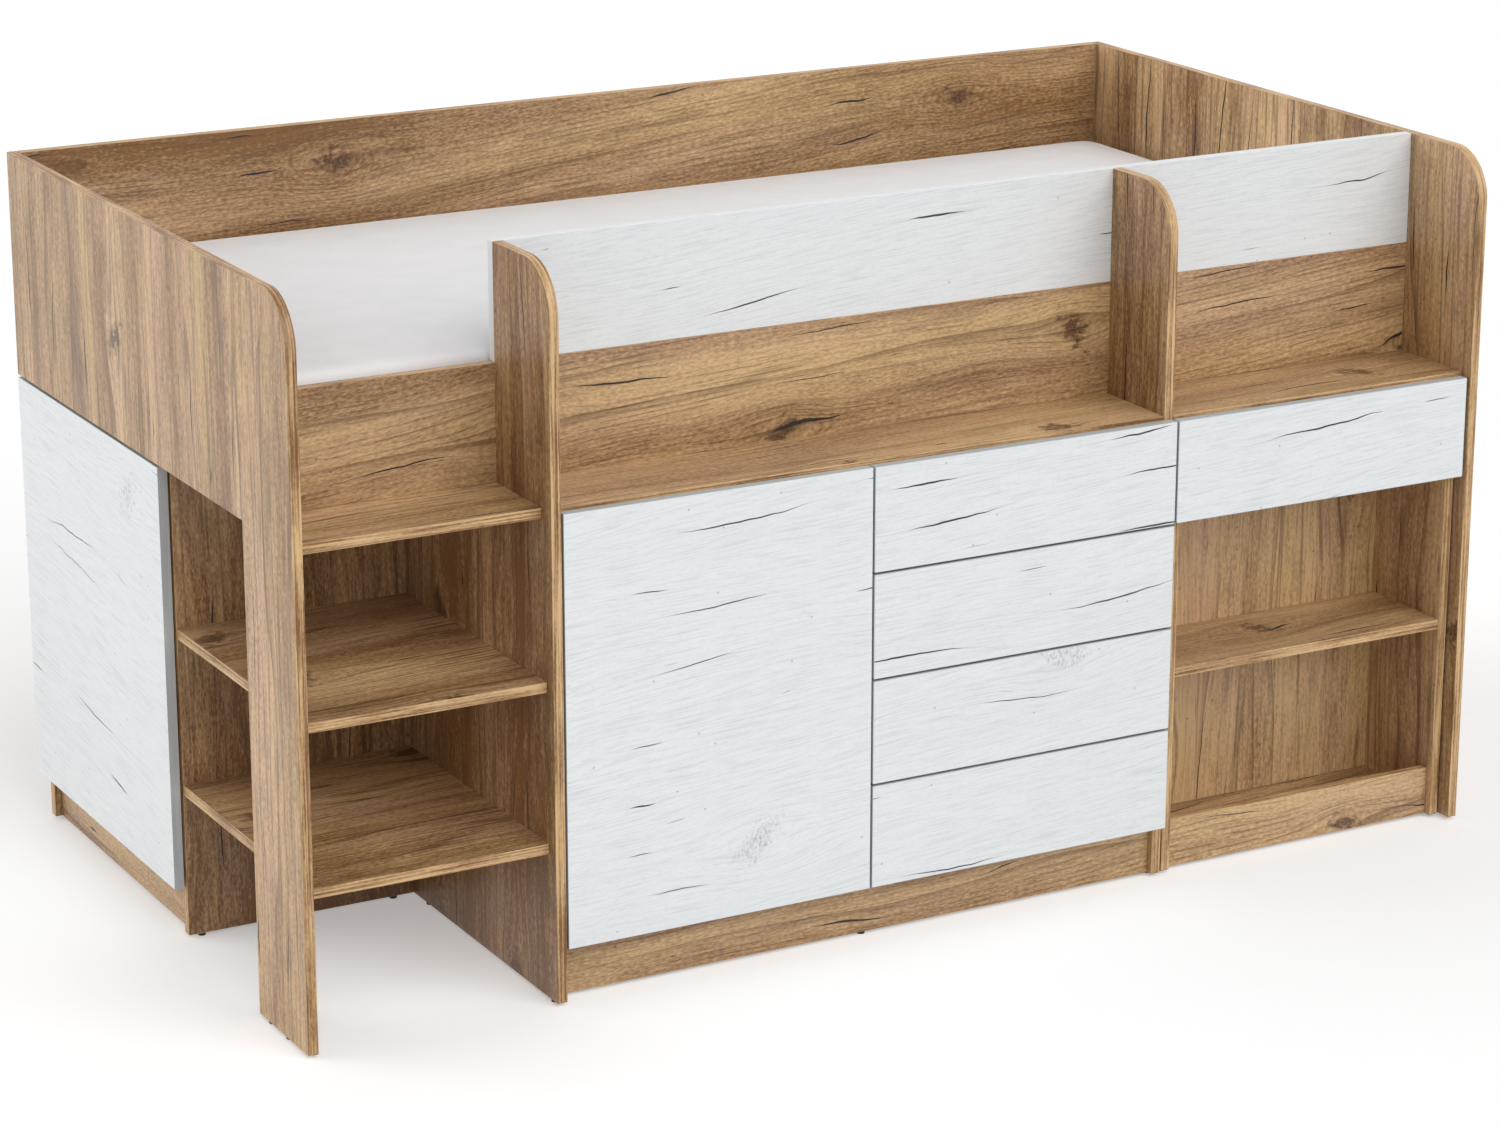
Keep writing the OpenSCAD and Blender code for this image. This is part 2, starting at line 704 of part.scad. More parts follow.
// Each side is one board: full height beside the shelves, an apron behind them
module desk_sides() placed(golden_oak) for (x = [desk_x, desk_in_end]) cross_panel(x) union() {
    translate([desk_y, glide_h]) square([desk_unit_d, desk_under_z - glide_h]);
    translate([desk_y, apron_z]) square([desk_rear_y - desk_y, apron_h]);
}

module desk_back() placed(golden_oak)
    board([desk_in_x, desk_back_y, desk_floor_z], [desk_in_end, desk_back_y + board_t, apron_z]);

module desk_shelf() placed(golden_oak)
    board([desk_in_x, desk_y, desk_shelf_z - board_t], [desk_in_end, desk_back_y, desk_shelf_z]);

module desk_bottom() placed(golden_oak) board(
    [desk_in_x, desk_plinth_y + board_t, roller_h], [desk_in_end, desk_back_y + board_t, desk_floor_z]);

module desk_plinth() placed(golden_oak) board(
    [desk_in_x, desk_plinth_y, glide_h], [desk_in_end, desk_plinth_y + board_t, plinth_z]);

module desk_rear_panel() placed(golden_oak)
    board([desk_x, desk_rear_y, roller_h], [desk_end, desk_rear_y + board_t, desk_under_z]);

// A bracket holds its roller between two cheeks on a through axle
module roller_bracket(x, y) translate([x, y, 0]) {
    cheek_x = wheel_w / 2 + 2 * seam;
    translate([-bracket_l / 2, -bracket_l / 2, roller_h - bracket_t])
        cube([bracket_l, bracket_l, bracket_t]);
    for (s = [-1, 1]) translate([s * (cheek_x + bracket_t / 2), 0, 0])
        translate([-bracket_t / 2, -wheel_dia / 3, wheel_z - axle_dia])
            cube([bracket_t, 2 * wheel_dia / 3, roller_h - bracket_t - wheel_z + axle_dia]);
    translate([-cheek_x - bracket_t, 0, wheel_z]) rotate([0, 90, 0])
        cylinder(d = axle_dia, h = 2 * (cheek_x + bracket_t));
}

module roller(x, y) translate([x - wheel_w / 2, y, wheel_z]) rotate([0, 90, 0]) difference() {
    cylinder(d = wheel_dia, h = wheel_w);
    translate([0, 0, -1]) cylinder(d = axle_dia + 2 * axle_clear, h = wheel_w + 2);
}

module desk_roller_brackets() placed(steel)
    for (y = [front_wheel_y, rear_wheel_y]) for (x = wheel_xs) roller_bracket(x, y);

module desk_front_rollers() placed(grey_plastic) for (x = wheel_xs) roller(x, front_wheel_y);

module desk_rear_rollers() placed(grey_plastic) for (x = wheel_xs) roller(x, rear_wheel_y);

module desk_runners() placed(white_board)
    both_sides(desk_in_x, desk_in_end) translate([0, desk_recess, 0]) channel(desk_box_z, desk_box_l);

module desk_drawer_front() placed(white_oak) board(
    [desk_front_x, 0, drawer_z(1)], [desk_front_end, front_t, drawer_z(1) + drawer_front_h]);

module desk_drawer_box() placed(white_board)
    drawer_box(desk_in_x + runner_w, desk_in_end - runner_w, desk_box_z, desk_box_l, desk_box_h);

module desk_drawer_runners() placed(white_board)
    both_sides(desk_in_x, desk_in_end) slider(desk_box_z, desk_box_l);

left_end_panel();
right_end_panel();
left_divider();
right_divider();
back_board();
side_wall();
guard_rail();
top_step();
middle_step();
bottom_step();
cabinet_top();
cabinet_bottom();
cabinet_partition();
cabinet_shelf();
cabinet_plinth();
cabinet_back();
desk_ledge();
locker_front_side();
locker_rear_side();
locker_top();
locker_bottom();
locker_shelf();
locker_plinth();
shelf_pins();
slat_bearers();
bed_slats();
mattress();
plastic_glides();
cabinet_runners();
hinge_plates();
front_door();
front_door_cups();
end_door();
end_door_cups();
drawer_1_front();
drawer_1_box();
drawer_1_runners();
drawer_2_front();
drawer_2_box();
drawer_2_runners();
drawer_3_front();
drawer_3_box();
drawer_3_runners();
drawer_4_front();
drawer_4_box();
drawer_4_runners();
desk_top();
desk_sides();
desk_back();
desk_shelf();
desk_bottom();
desk_plinth();
desk_rear_panel();
desk_roller_brackets();
desk_runners();
desk_front_rollers();
desk_rear_rollers();
desk_drawer_front();
desk_drawer_box();
desk_drawer_runners();
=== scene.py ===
"""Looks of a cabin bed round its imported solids.

Coated boards in golden oak decor carry a mattress; doors, drawer fronts and guard rail are in white
oak decor. Metres; X runs along the bed with the steps at -X, the fronts face -Y, Z is up.
"""

import itertools
import json
import math

import bmesh
import bpy
import numpy as np
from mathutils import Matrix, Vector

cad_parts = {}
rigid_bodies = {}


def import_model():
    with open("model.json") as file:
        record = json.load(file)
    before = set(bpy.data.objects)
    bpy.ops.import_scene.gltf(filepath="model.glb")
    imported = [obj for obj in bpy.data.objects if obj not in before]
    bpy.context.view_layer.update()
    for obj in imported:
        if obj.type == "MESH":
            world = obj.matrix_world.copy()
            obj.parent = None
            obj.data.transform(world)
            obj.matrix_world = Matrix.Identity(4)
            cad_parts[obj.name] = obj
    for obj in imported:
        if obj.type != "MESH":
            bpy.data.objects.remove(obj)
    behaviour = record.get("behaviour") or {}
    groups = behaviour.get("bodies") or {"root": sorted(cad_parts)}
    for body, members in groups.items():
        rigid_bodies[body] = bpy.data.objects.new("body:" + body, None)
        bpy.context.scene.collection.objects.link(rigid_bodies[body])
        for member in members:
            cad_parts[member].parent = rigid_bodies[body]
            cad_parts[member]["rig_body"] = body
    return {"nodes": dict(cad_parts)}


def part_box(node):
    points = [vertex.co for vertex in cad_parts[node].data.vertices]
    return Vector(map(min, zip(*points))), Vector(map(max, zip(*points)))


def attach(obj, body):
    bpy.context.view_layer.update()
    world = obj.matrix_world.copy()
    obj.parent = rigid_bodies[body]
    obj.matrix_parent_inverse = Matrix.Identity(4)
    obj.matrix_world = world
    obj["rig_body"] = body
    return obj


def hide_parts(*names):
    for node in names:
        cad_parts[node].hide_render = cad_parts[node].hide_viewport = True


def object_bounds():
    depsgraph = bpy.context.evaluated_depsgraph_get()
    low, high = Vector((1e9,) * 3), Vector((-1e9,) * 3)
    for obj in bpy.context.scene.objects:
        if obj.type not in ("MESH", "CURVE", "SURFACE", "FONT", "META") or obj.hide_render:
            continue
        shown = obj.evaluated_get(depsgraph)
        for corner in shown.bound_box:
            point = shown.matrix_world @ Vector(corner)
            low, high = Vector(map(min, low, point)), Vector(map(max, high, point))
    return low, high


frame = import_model()
CAD_BOX = [list(corner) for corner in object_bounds()]

NODES = frame["nodes"]
MM = 0.001
X, Y, Z = 0, 1, 2


# ---------------------------------------------------------------- camera, light and floor

# The viewing angle of the photograph: a long lens, above and to the left of the steps.
CAMERA_PLACE = (-3.1626, -5.7811, 2.4641)
CAMERA_YAW = 28.708
CAMERA_PITCH = 17.067
CAMERA_LENS = 102.46
FILM_WIDTH = 36.0
CAMERA_REACH = 100.0

DOME = 0.38  # plain grey sky all round
# Broad soft lights: degrees round from the fronts, degrees above the floor, strength, apparent width.
SOFT_LIGHTS = {
    "front_light": (10, 42, 1.66, 60),
    "end_light": (-122, 20, 1.38, 50),
}
FLOOR_HALF = 40.0
FLOOR_LIFT = 0.33


def linear(hex_colour):
    """sRGB hex to linear: c / 12.92 up to 0.04045, else ((c + 0.055) / 1.055) to the power 2.4."""
    parts = [int(hex_colour[i : i + 2], 16) / 255 for i in (0, 2, 4)]
    return tuple(c / 12.92 if c <= 0.04045 else ((c + 0.055) / 1.055) ** 2.4 for c in parts) + (1.0,)


def add(tree, kind, sockets=(), out=0, **settings):
    """Adds one shader node with its settings, values and links, and gives one of its outputs."""
    made = tree.nodes.new("ShaderNode" + kind)
    for name, value in settings.items():
        setattr(made, name, value)
    pairs = sockets.items() if isinstance(sockets, dict) else enumerate(sockets)
    for key, value in pairs:
        if isinstance(value, bpy.types.NodeSocket):
            tree.links.new(value, made.inputs[key])
        else:
            made.inputs[key].default_value = value
    return made.outputs[out] if made.outputs else None


def empty_tree(owner):
    """Switches nodes on and clears them."""
    owner.use_nodes = True
    owner.node_tree.nodes.clear()
    return owner.node_tree


def seen_directly(tree):
    """1 on camera, glossy and transmission rays, 0 on the rays that only light the bed."""
    rays = add(tree, "LightPath").node.outputs
    passed_on = (rays["Is Glossy Ray"], rays["Is Transmission Ray"])
    mirrored = add(tree, "Math", passed_on, operation="MAXIMUM")
    return add(tree, "Math", (rays["Is Camera Ray"], mirrored), operation="MAXIMUM")


def make_world():
    world = bpy.data.worlds.new("studio_dome")
    bpy.context.scene.world = world
    tree = empty_tree(world)
    strength = add(tree, "MapRange", {0: seen_directly(tree), 3: DOME, 4: 1.0})
    light = add(tree, "Background", {"Color": (1, 1, 1, 1), "Strength": strength})
    add(tree, "OutputWorld", {"Surface": light})


def make_floor():
    """A pale studio floor: it shades as matt white, and a little glow that only the eye sees brings
    its lit part up to white, so the soft shadow of the bed stays."""
    mesh = bpy.data.meshes.new("studio_floor")
    corners = [(FLOOR_HALF * x, FLOOR_HALF * y, 0) for x, y in ((-1, -1), (1, -1), (1, 1), (-1, 1))]
    mesh.from_pydata(corners, [], [(0, 1, 2, 3)])
    floor = bpy.data.objects.new("studio_floor", mesh)
    bpy.context.scene.collection.objects.link(floor)
    paint = bpy.data.materials.new("matt_white_floor_paint")
    tree = empty_tree(paint)
    glow = add(tree, "Math", (seen_directly(tree), FLOOR_LIFT), operation="MULTIPLY")
    matt = add(tree, "BsdfDiffuse", {"Color": linear("E6E6E6")})
    light = add(tree, "Emission", {"Color": (1, 1, 1, 1), "Strength": glow})
    add(tree, "OutputMaterial", {"Surface": add(tree, "AddShader", (matt, light))})
    mesh.materials.append(paint)


def make_lights():
    """Suns as wide as studio softboxes, so the light is the same all over the floor.

    A sun shines along its own -Z: first tipped from the zenith, then turned round Z.
    """
    for name, (around_bed, height, strength, width) in SOFT_LIGHTS.items():
        data = bpy.data.lights.new(name, "SUN")
        data.energy = strength
        data.angle = math.radians(width)
        light = bpy.data.objects.new(name, data)
        light.rotation_euler = (math.radians(90 - height), 0.0, math.radians(around_bed))
        bpy.context.scene.collection.objects.link(light)


def make_camera():
    data = bpy.data.cameras.new("photo_camera")
    data.lens = CAMERA_LENS
    data.sensor_width = FILM_WIDTH
    data.sensor_fit = "HORIZONTAL"
    data.clip_end = CAMERA_REACH
    camera = bpy.data.objects.new("photo_camera", data)
    camera.location = CAMERA_PLACE
    camera.rotation_euler = (math.radians(90 - CAMERA_PITCH), 0.0, math.radians(-CAMERA_YAW))
    bpy.context.scene.collection.objects.link(camera)
    bpy.context.scene.camera = camera


bpy.context.scene.view_settings.view_transform = "Standard"
make_world()
make_floor()
make_lights()
make_camera()


# ---------------------------------------------------------------- patterns of the printed decors

SCATTER = 0.55  # how far knots and cracks may leave the middle of their cells
KNOT_TURN = 1.2  # radians
KNOT_DRAWN = (0.6, 1.1, 1)  # under 1 draws the spot out, over 1 draws it in
CRACK_SLOPE = 0.07
CRACK_BEND = 0.5
CRACK_WOBBLE = 9 * MM  # weight of a noise: mostly under 2 mm to either side
GRAIN_WANDER = 70 * MM  # likewise: mostly under 14 mm to either side
RING_STEP = 8.5 * MM
SEASON_STEP = 58 * MM
STRIP_WIDTH = 38.46 * MM


def product(tree, first, *others):
    """All the factors multiplied."""
    for other in others:
        first = add(tree, "Math", (first, other), operation="MULTIPLY")
    return first


def weighed(tree, start, pairs):
    """start plus the sum of weight * (value - 0.5)."""
    total = start
    for value, weight in pairs:
        off = add(tree, "Math", (value, 0.5), operation="SUBTRACT")
        total = add(tree, "Math", (off, weight, total), operation="MULTIPLY_ADD")
    return total


def inked(tree, base, layers):
    """Lays colours over a base in turn: colour + amount * (ink - colour) for each amount and ink,
    which is a hex colour or a pattern of its own."""
    colour = linear(base) if isinstance(base, str) else base
    for amount, ink in layers:
        ink = linear(ink) if isinstance(ink, str) else ink
        colour = add(tree, "Mix", {0: amount, 6: colour, 7: ink}, out=2, data_type="RGBA")
    return colour


def noise(tree, where, size, detail=2.0, rough=0.5):
    """Smooth noise from 0 to 1 whose features are about size millimetres along and across."""
    per_metre = (1 / (size[0] * MM), 1 / (size[1] * MM), 0)
    scaled = add(tree, "VectorMath", (where, per_metre), operation="MULTIPLY")
    return add(tree, "TexNoise", {"Vector": scaled, "Scale": 1.0, "Detail": detail, "Roughness": rough},
               noise_dimensions="2D")


def cells(tree, where, size, randomness):
    """Scatters one point in each cell of the given size in millimetres, along and across.

    Gives the way from the nearest point in metres as (du, dv), three random numbers of that point,
    and one more that decides whether its mark is there.
    """
    along, across = size[0] * MM, size[1] * MM
    scaled = add(tree, "VectorMath", (where, (1 / along, 1 / across, 0)), operation="MULTIPLY")
    point = add(tree, "TexVoronoi", {"Vector": scaled, "Scale": 1.0, "Randomness": randomness},
                out="Position", voronoi_dimensions="2D")
    away = add(tree, "VectorMath", (scaled, point), operation="SUBTRACT")
    metres = add(tree, "VectorMath", (away, (along, across, 0)), operation="MULTIPLY")
    parts = add(tree, "SeparateXYZ", (metres,)).node.outputs
    dice = add(tree, "SeparateColor", (point.node.outputs["Color"],)).node.outputs
    lot = add(tree, "TexWhiteNoise", {"Vector": point}, noise_dimensions="2D")
    return parts[0], parts[1], dice, lot


def knots(tree, where, size, share, radius):
    """Knots: a dark ragged spot, drawn out in a direction of its own, in a grain that parts round it.

    r is the length of the way from the knot, turned by up to KNOT_TURN and stretched by KNOT_DRAWN,
    plus noise of half the radius. The spot is 1 at r = 0.15 radius and 0 at the radius. The grain is
    drawn in across by dv * 0.8 * exp(-(s / (1.6 radius))^2), where s is measured half as far along
    the grain, so lines that run straight elsewhere open round the knot.
    """
    du, dv, dice, lot = cells(tree, where, size, SCATTER)
    there = add(tree, "Math", (lot, share), operation="LESS_THAN")
    flat = add(tree, "CombineXYZ", (du, dv, 0.0))
    angle = add(tree, "MapRange", {0: dice[1], 3: -KNOT_TURN, 4: KNOT_TURN})
    turned = add(tree, "VectorRotate", {"Vector": flat, "Angle": angle}, rotation_type="Z_AXIS")
    drawn = add(tree, "VectorMath", (turned, KNOT_DRAWN), operation="MULTIPLY")
    far = add(tree, "VectorMath", (drawn,), out="Value", operation="LENGTH")
    bent = weighed(tree, far, [(noise(tree, where, (18, 10.5), 4, 0.65), 2.5 * radius)])
    fade = add(tree, "MapRange", (bent, 0.15 * radius, radius, 1.0, 0.0),
               interpolation_type="SMOOTHSTEP")
    half = add(tree, "VectorMath", (flat, (0.5, 1, 1)), operation="MULTIPLY")
    near = add(tree, "VectorMath", (half,), out="Value", operation="LENGTH")
    ratio = add(tree, "Math", (near, 1.6 * radius), operation="DIVIDE")
    fall = add(tree, "Math", (math.e, product(tree, ratio, ratio, -1.0)), operation="POWER")
    return product(tree, fade, there), product(tree, dv, fall, -0.8, there)


def cracks(tree, where, size, share, reach, half_width):
    """Sparse tapered cracks and the hairlines that carry them on.

    A crack is the line dv = slope du + bend du^2 + wobble, from -reach to reach along the grain.
    Its half width is half_width * (1 - (du / reach)^2), times 0.4 to 1 by a random number. The
    hairline is 2 times as long and a third as wide. reach lies between its two limits by another.
    """
    du, dv, dice, lot = cells(tree, where, size, SCATTER)
    there = add(tree, "Math", (lot, share), operation="LESS_THAN")
    length = add(tree, "MapRange", {0: dice[0], 3: reach[0], 4: reach[1]})
    slope = add(tree, "MapRange", {0: dice[1], 3: -CRACK_SLOPE, 4: CRACK_SLOPE})
    bend = add(tree, "MapRange", {0: dice[2], 3: -CRACK_BEND, 4: CRACK_BEND})
    curve = add(tree, "Math", (bend, du, slope), operation="MULTIPLY_ADD")
    wavy = noise(tree, where, (77, 50), 2, 0.5)
    line = weighed(tree, product(tree, curve, du), [(wavy, CRACK_WOBBLE)])
    off = add(tree, "Math", (dv, line), operation="SUBTRACT")
    miss = add(tree, "Math", (off,), operation="ABSOLUTE")
    thin = add(tree, "MapRange", (lot, 0.0, share, 1.0, 0.4))
    part = add(tree, "Math", (du, length), operation="DIVIDE")
    square = product(tree, part, part)
    inks = []
    for stretch, width, soft in ((1.0, half_width, 0.5 * MM), (2.0, half_width / 3, 0.8 * MM)):
        taper = add(tree, "Math", (square, -width / stretch ** 2, width), operation="MULTIPLY_ADD")
        inside = add(tree, "Math", (product(tree, taper, thin), miss), operation="SUBTRACT")
        ink = add(tree, "MapRange", (inside, -0.3 * soft, 0.7 * soft))
        inks.append(product(tree, ink, there))
    return inks


def pin_knots(tree, where):
    """Small dark dots, 2 to 4 mm across, in one of five cells of 110 by 70 mm."""
    du, dv, dice, lot = cells(tree, where, (110, 70), 1.0)
    away = add(tree, "CombineXYZ", (du, dv, 0.0))
    far = add(tree, "VectorMath", (away,), out="Value", operation="LENGTH")
    dot = add(tree, "MapRange", (far, 0.8 * MM, 2.2 * MM, 1.0, 0.0))
    return product(tree, dot, add(tree, "Math", (lot, 0.2), operation="LESS_THAN"))


def repeated(tree, across, step, bow, power):
    """Lines every step across the grain: the fraction of across / step + bow, to the given power, so
    that each line grows softly from one side and ends sharply on the other."""
    rank = add(tree, "Math", (across, 1 / step, bow), operation="MULTIPLY_ADD")
    return add(tree, "Math", (add(tree, "Math", (rank,), operation="FRACT"), power), operation="POWER")


def patches(tree, where, size, detail, rough, low, high, top=1.0):
    """Noise made into patches: 0 where it is under low, top where it is over high."""
    return add(tree, "MapRange", (noise(tree, where, size, detail, rough), low, high, 0.0, top))


def contour(tree, value, half):
    """1 where the noise passes 0.5, down to 0 where it is half away from that: long wavering lines."""
    off = add(tree, "Math", (value, 0.5), operation="SUBTRACT")
    away = add(tree, "Math", (off,), operation="ABSOLUTE")
    return add(tree, "MapRange", (away, 0.2 * half, half, 1.0, 0.0))


def oak_print(tree, slant, streak, knot, crack, nick):
    """What both oak decors share: where the grain runs, its knots, cracks, lines and fields of shade.

    Across the grain is v - slant * u, plus slow wander, plus the pull of the knots. Cracks have an
    ink and a hair, and the short nicks have theirs, named nicks and threads. rings are thin dark
    lines, drawn in most places and broken up a little; seasons are fewer and wider, with sharp dark
    upper edges, in some places only; lines are long wavering contours. streaks, fine and pores are
    noise drawn out along the grain, each finer than the one before.
    """
    where = add(tree, "UVMap", uv_map="grain")
    core, pull = knots(tree, where, **knot)
    parts = add(tree, "SeparateXYZ", (where,)).node.outputs
    straight = add(tree, "Math", (parts[0], -slant, parts[1]), operation="MULTIPLY_ADD")
    wandering = weighed(tree, straight, [(noise(tree, where, (1110, 286), 2, 0.5), GRAIN_WANDER)])
    across = add(tree, "Math", (wandering, pull), operation="ADD")
    grain = add(tree, "CombineXYZ", (parts[0], across, 0.0))
    ink, hair = cracks(tree, grain, **crack)
    nicks, threads = cracks(tree, grain, **nick)
    slow = noise(tree, grain, (1250, 200), 2, 0.5)
    ring = repeated(tree, across, RING_STEP, product(tree, slow, 8.0), 4.0)
    season = repeated(tree, across, SEASON_STEP, product(tree, slow, 3.0), 9.0)
    wavering = contour(tree, noise(tree, grain, (667, 24), 1, 0.4), 0.06)
    return {
        "where": where,
        "grain": grain,
        "across": across,
        "core": core,
        "ink": ink,
        "hair": hair,
        "nicks": nicks,
        "threads": threads,
        "dots": pin_knots(tree, where),
        "rings": product(tree, ring, patches(tree, grain, (400, 45), 2, 0.5, 0.36, 0.56),
                         patches(tree, grain, (67, 7.7), 2, 0.6, 0.36, 0.54)),
        "seasons": product(tree, season, patches(tree, grain, (910, 111), 2, 0.5, 0.47, 0.60)),
        "lines": product(tree, wavering, patches(tree, grain, (312, 33), 2, 0.5, 0.46, 0.6)),
        "streaks": noise(tree, grain, streak, 3, 0.7),
        "fine": noise(tree, grain, (9, 3), 2, 0.6),
        "pores": noise(tree, grain, (17, 1.1), 2, 0.5),
        "bands": noise(tree, grain, (910, 26), 2, 0.5),
        "fields": noise(tree, grain, (1110, 125), 2, 0.5),
        "blush": noise(tree, grain, (833, 91), 1, 0.5),
    }


# ---------------------------------------------------------------- materials

def coated(name, build):
    """A material with one Principled shader over one relief; build gives the sockets of both."""
    finish = bpy.data.materials.new(name)
    tree = empty_tree(finish)
    sockets, relief = build(tree)
    shader = add(tree, "BsdfPrincipled", {**sockets, "Normal": add(tree, "Bump", relief)})
    add(tree, "OutputMaterial", {"Surface": shader})
    return finish


# Chipboard 16 mm thick, coated with a printed golden oak decor paper in melamine resin. The press plate
# gives a satin face with shallow pores. Ring lines lie 8.5 mm apart, growth bands 58 mm, on fields of
# shade about 125 mm wide. Cracks are 30 to 190 mm long, or up to 280 mm on upright boards, nicks 12 to
# 48 mm, and knots about 50 mm across. Where the print is cut in strips they are about 38 mm wide, each
# of a shade of its own.
def golden_oak(tree, strips=0.0, seams=0.0, rings=0.85, lines=0.3, streaks=0.8, bands=0.35, slant=0.06,
               streak=(59, 4.8), knotty=0.5, cracked=0.64, longest=95):
    oak = oak_print(
        tree, slant, streak,
        dict(size=(500, 230), share=knotty, radius=27 * MM),
        dict(size=(360, 72), share=cracked, reach=(16 * MM, longest * MM), half_width=2.1 * MM),
        dict(size=(150, 52), share=0.3, reach=(6 * MM, 24 * MM), half_width=1.1 * MM),
    )
    # The tone shift read here is partly the print's tone and partly painted shade and painted light.
    shade = add(tree, "Attribute", out="Fac", attribute_name="shade")
    place = add(tree, "Math", (oak["across"], STRIP_WIDTH), operation="DIVIDE")
    strip = add(tree, "TexVoronoi", {"W": place, "Scale": 1.0}, out="Color", voronoi_dimensions="1D")
    dice = add(tree, "SeparateColor", (strip,)).node.outputs
    edge = add(tree, "TexVoronoi", {"W": place, "Scale": 1.0}, feature="DISTANCE_TO_EDGE",
               voronoi_dimensions="1D")
    seam = add(tree, "MapRange", (edge, 0.085, 0.02))
    shown = add(tree, "MapRange", (oak["fields"], 0.44, 0.58))
    ruddy = add(tree, "MapRange", (oak["blush"], 0.60, 0.74))
    flecks = patches(tree, oak["where"], (11, 3.8), 2, 0.6, 0.5, 0.64)
    specks = patches(tree, oak["where"], (5.6, 3.8), 2, 0.6, 0.46, 0.62)
    tone = weighed(tree, add(tree, "Math", (shade, 0.52), operation="ADD"), [
        (oak["fields"], 1.3), (oak["bands"], bands), (oak["streaks"], streaks), (oak["fine"], 1.1),
        (oak["pores"], 0.3), (dice[0], strips),
    ])
    redness = weighed(tree, 0.45, [(oak["blush"], 1.7), (dice[1], 1.6 * strips)])
    wood = inked(tree, inked(tree, "80592F", [(tone, "E0BE89")]), [
        (redness, inked(tree, "7F593C", [(tone, "DEB892")])),
        (product(tree, oak["rings"], rings), "64401F"),
        (product(tree, oak["seasons"], 0.7), "65421F"),
        (product(tree, oak["lines"], lines), "523520"),
        (product(tree, seam, shown, seams), "4B3021"),
        (product(tree, ruddy, flecks, 0.4), "6B4728"),
        (product(tree, oak["core"], 0.8), "5A3B22"),
        (product(tree, oak["core"], oak["core"], specks, 0.8), "38281B"),
        (product(tree, oak["dots"], 0.75), "4A3020"),
        (product(tree, oak["threads"], 0.35), "4A3321"),
        (product(tree, oak["nicks"], 0.55), "3A281A"),
        (product(tree, oak["hair"], 0.6), "4A3321"),
        (oak["ink"], "211813"),
    ])
    height = weighed(tree, 0.5, [(oak["pores"], 0.4), (oak["rings"], -0.6), (oak["ink"], -0.5)])
    return {
        "Base Color": wood,
        "Roughness": weighed(tree, 0.47, [(oak["streaks"], 0.14), (oak["ink"], 0.2)]),
        "IOR": 1.5,
    }, {"Height": height, "Distance": 0.15 * MM}


# Melamine edging of the same golden oak, ironed on: dark and pale lines 3 to 4 mm apart run along it.
def golden_edging(tree):
    where = add(tree, "UVMap", uv_map="grain")
    streaks = noise(tree, where, (250, 3.7), 3, 0.6)
    drift = noise(tree, where, (111, 25), 3, 0.6)
    fine = noise(tree, where, (9, 2.5), 2, 0.6)
    lines = patches(tree, where, (333, 2.6), 2, 0.5, 0.57, 0.68, 0.6)
    # The tone shift read here comes from the same table that holds painted shade and painted light.
    shade = add(tree, "Attribute", out="Fac", attribute_name="shade")
    start = add(tree, "Math", (shade, 0.64), operation="ADD")
    tone = weighed(tree, start, [(streaks, 3.0), (drift, 1.4), (fine, 0.8)])
    return {
        "Base Color": inked(tree, "80552C", [(tone, "DDB886"), (lines, "6A4424")]),
        "Roughness": weighed(tree, 0.45, [(streaks, 0.15)]),
        "IOR": 1.5,
    }, {"Height": streaks, "Distance": 0.08 * MM}


# The same board with a white oak decor: cold white with faint grey hairlines 2 to 3 mm thick, charcoal
# cracks 30 to 240 mm long that trail off in hairlines, nicks 10 to 50 mm long, and a few grey smudged
# knots about 60 mm across.
def white_oak(tree):
    oak = oak_print(
        tree, 0.07, (59, 4.8),
        dict(size=(460, 250), share=0.42, radius=34 * MM),
        dict(size=(380, 74), share=0.46, reach=(14 * MM, 120 * MM), half_width=1.7 * MM),
        dict(size=(230, 71), share=0.22, reach=(5 * MM, 26 * MM), half_width=1.0 * MM),
    )
    brushed = patches(tree, oak["grain"], (91, 2.3), 2, 0.5, 0.5, 0.72, 0.27)
    smudge = patches(tree, oak["where"], (4.2, 9), 3, 0.7, 0.44, 0.66)
    lined = add(tree, "MapRange", (oak["blush"], 0.46, 0.62))
    tone = weighed(tree, 0.7, [(oak["fields"], 0.3), (oak["pores"], 0.3)])
    wood = inked(tree, "E3E7E9", [
        (tone, "F3F5F6"),
        (add(tree, "MapRange", (oak["streaks"], 0.54, 0.8, 0.0, 0.28)), "BCC3C6"),
        (brushed, "BCC3C6"),
        (add(tree, "MapRange", (oak["fine"], 0.52, 0.75, 0.0, 0.16)), "BCC3C6"),
        (product(tree, oak["rings"], lined, 0.22), "A9B0B3"),
        (product(tree, oak["seasons"], 0.06), "9FA6A9"),
        (add(tree, "MapRange", (oak["fields"], 0.6, 0.85, 0.0, 0.08)), "D6DBDD"),
        (product(tree, oak["core"], 0.6, smudge), "8D9497"),
        (product(tree, oak["dots"], 0.5), "6E7376"),
        (product(tree, oak["threads"], 0.25), "8A9093"),
        (product(tree, oak["nicks"], 0.5), "5A5F62"),
        (product(tree, oak["hair"], 0.5), "777D80"),
        (oak["ink"], "2F3235"),
    ])
    height = weighed(tree, 0.5, [(oak["streaks"], -0.6), (oak["pores"], 0.3), (oak["ink"], -0.5)])
    return {
        "Base Color": wood,
        "Roughness": weighed(tree, 0.46, [(oak["streaks"], 0.12), (oak["ink"], 0.2)]),
        "IOR": 1.5,
    }, {"Height": height, "Distance": 0.12 * MM}
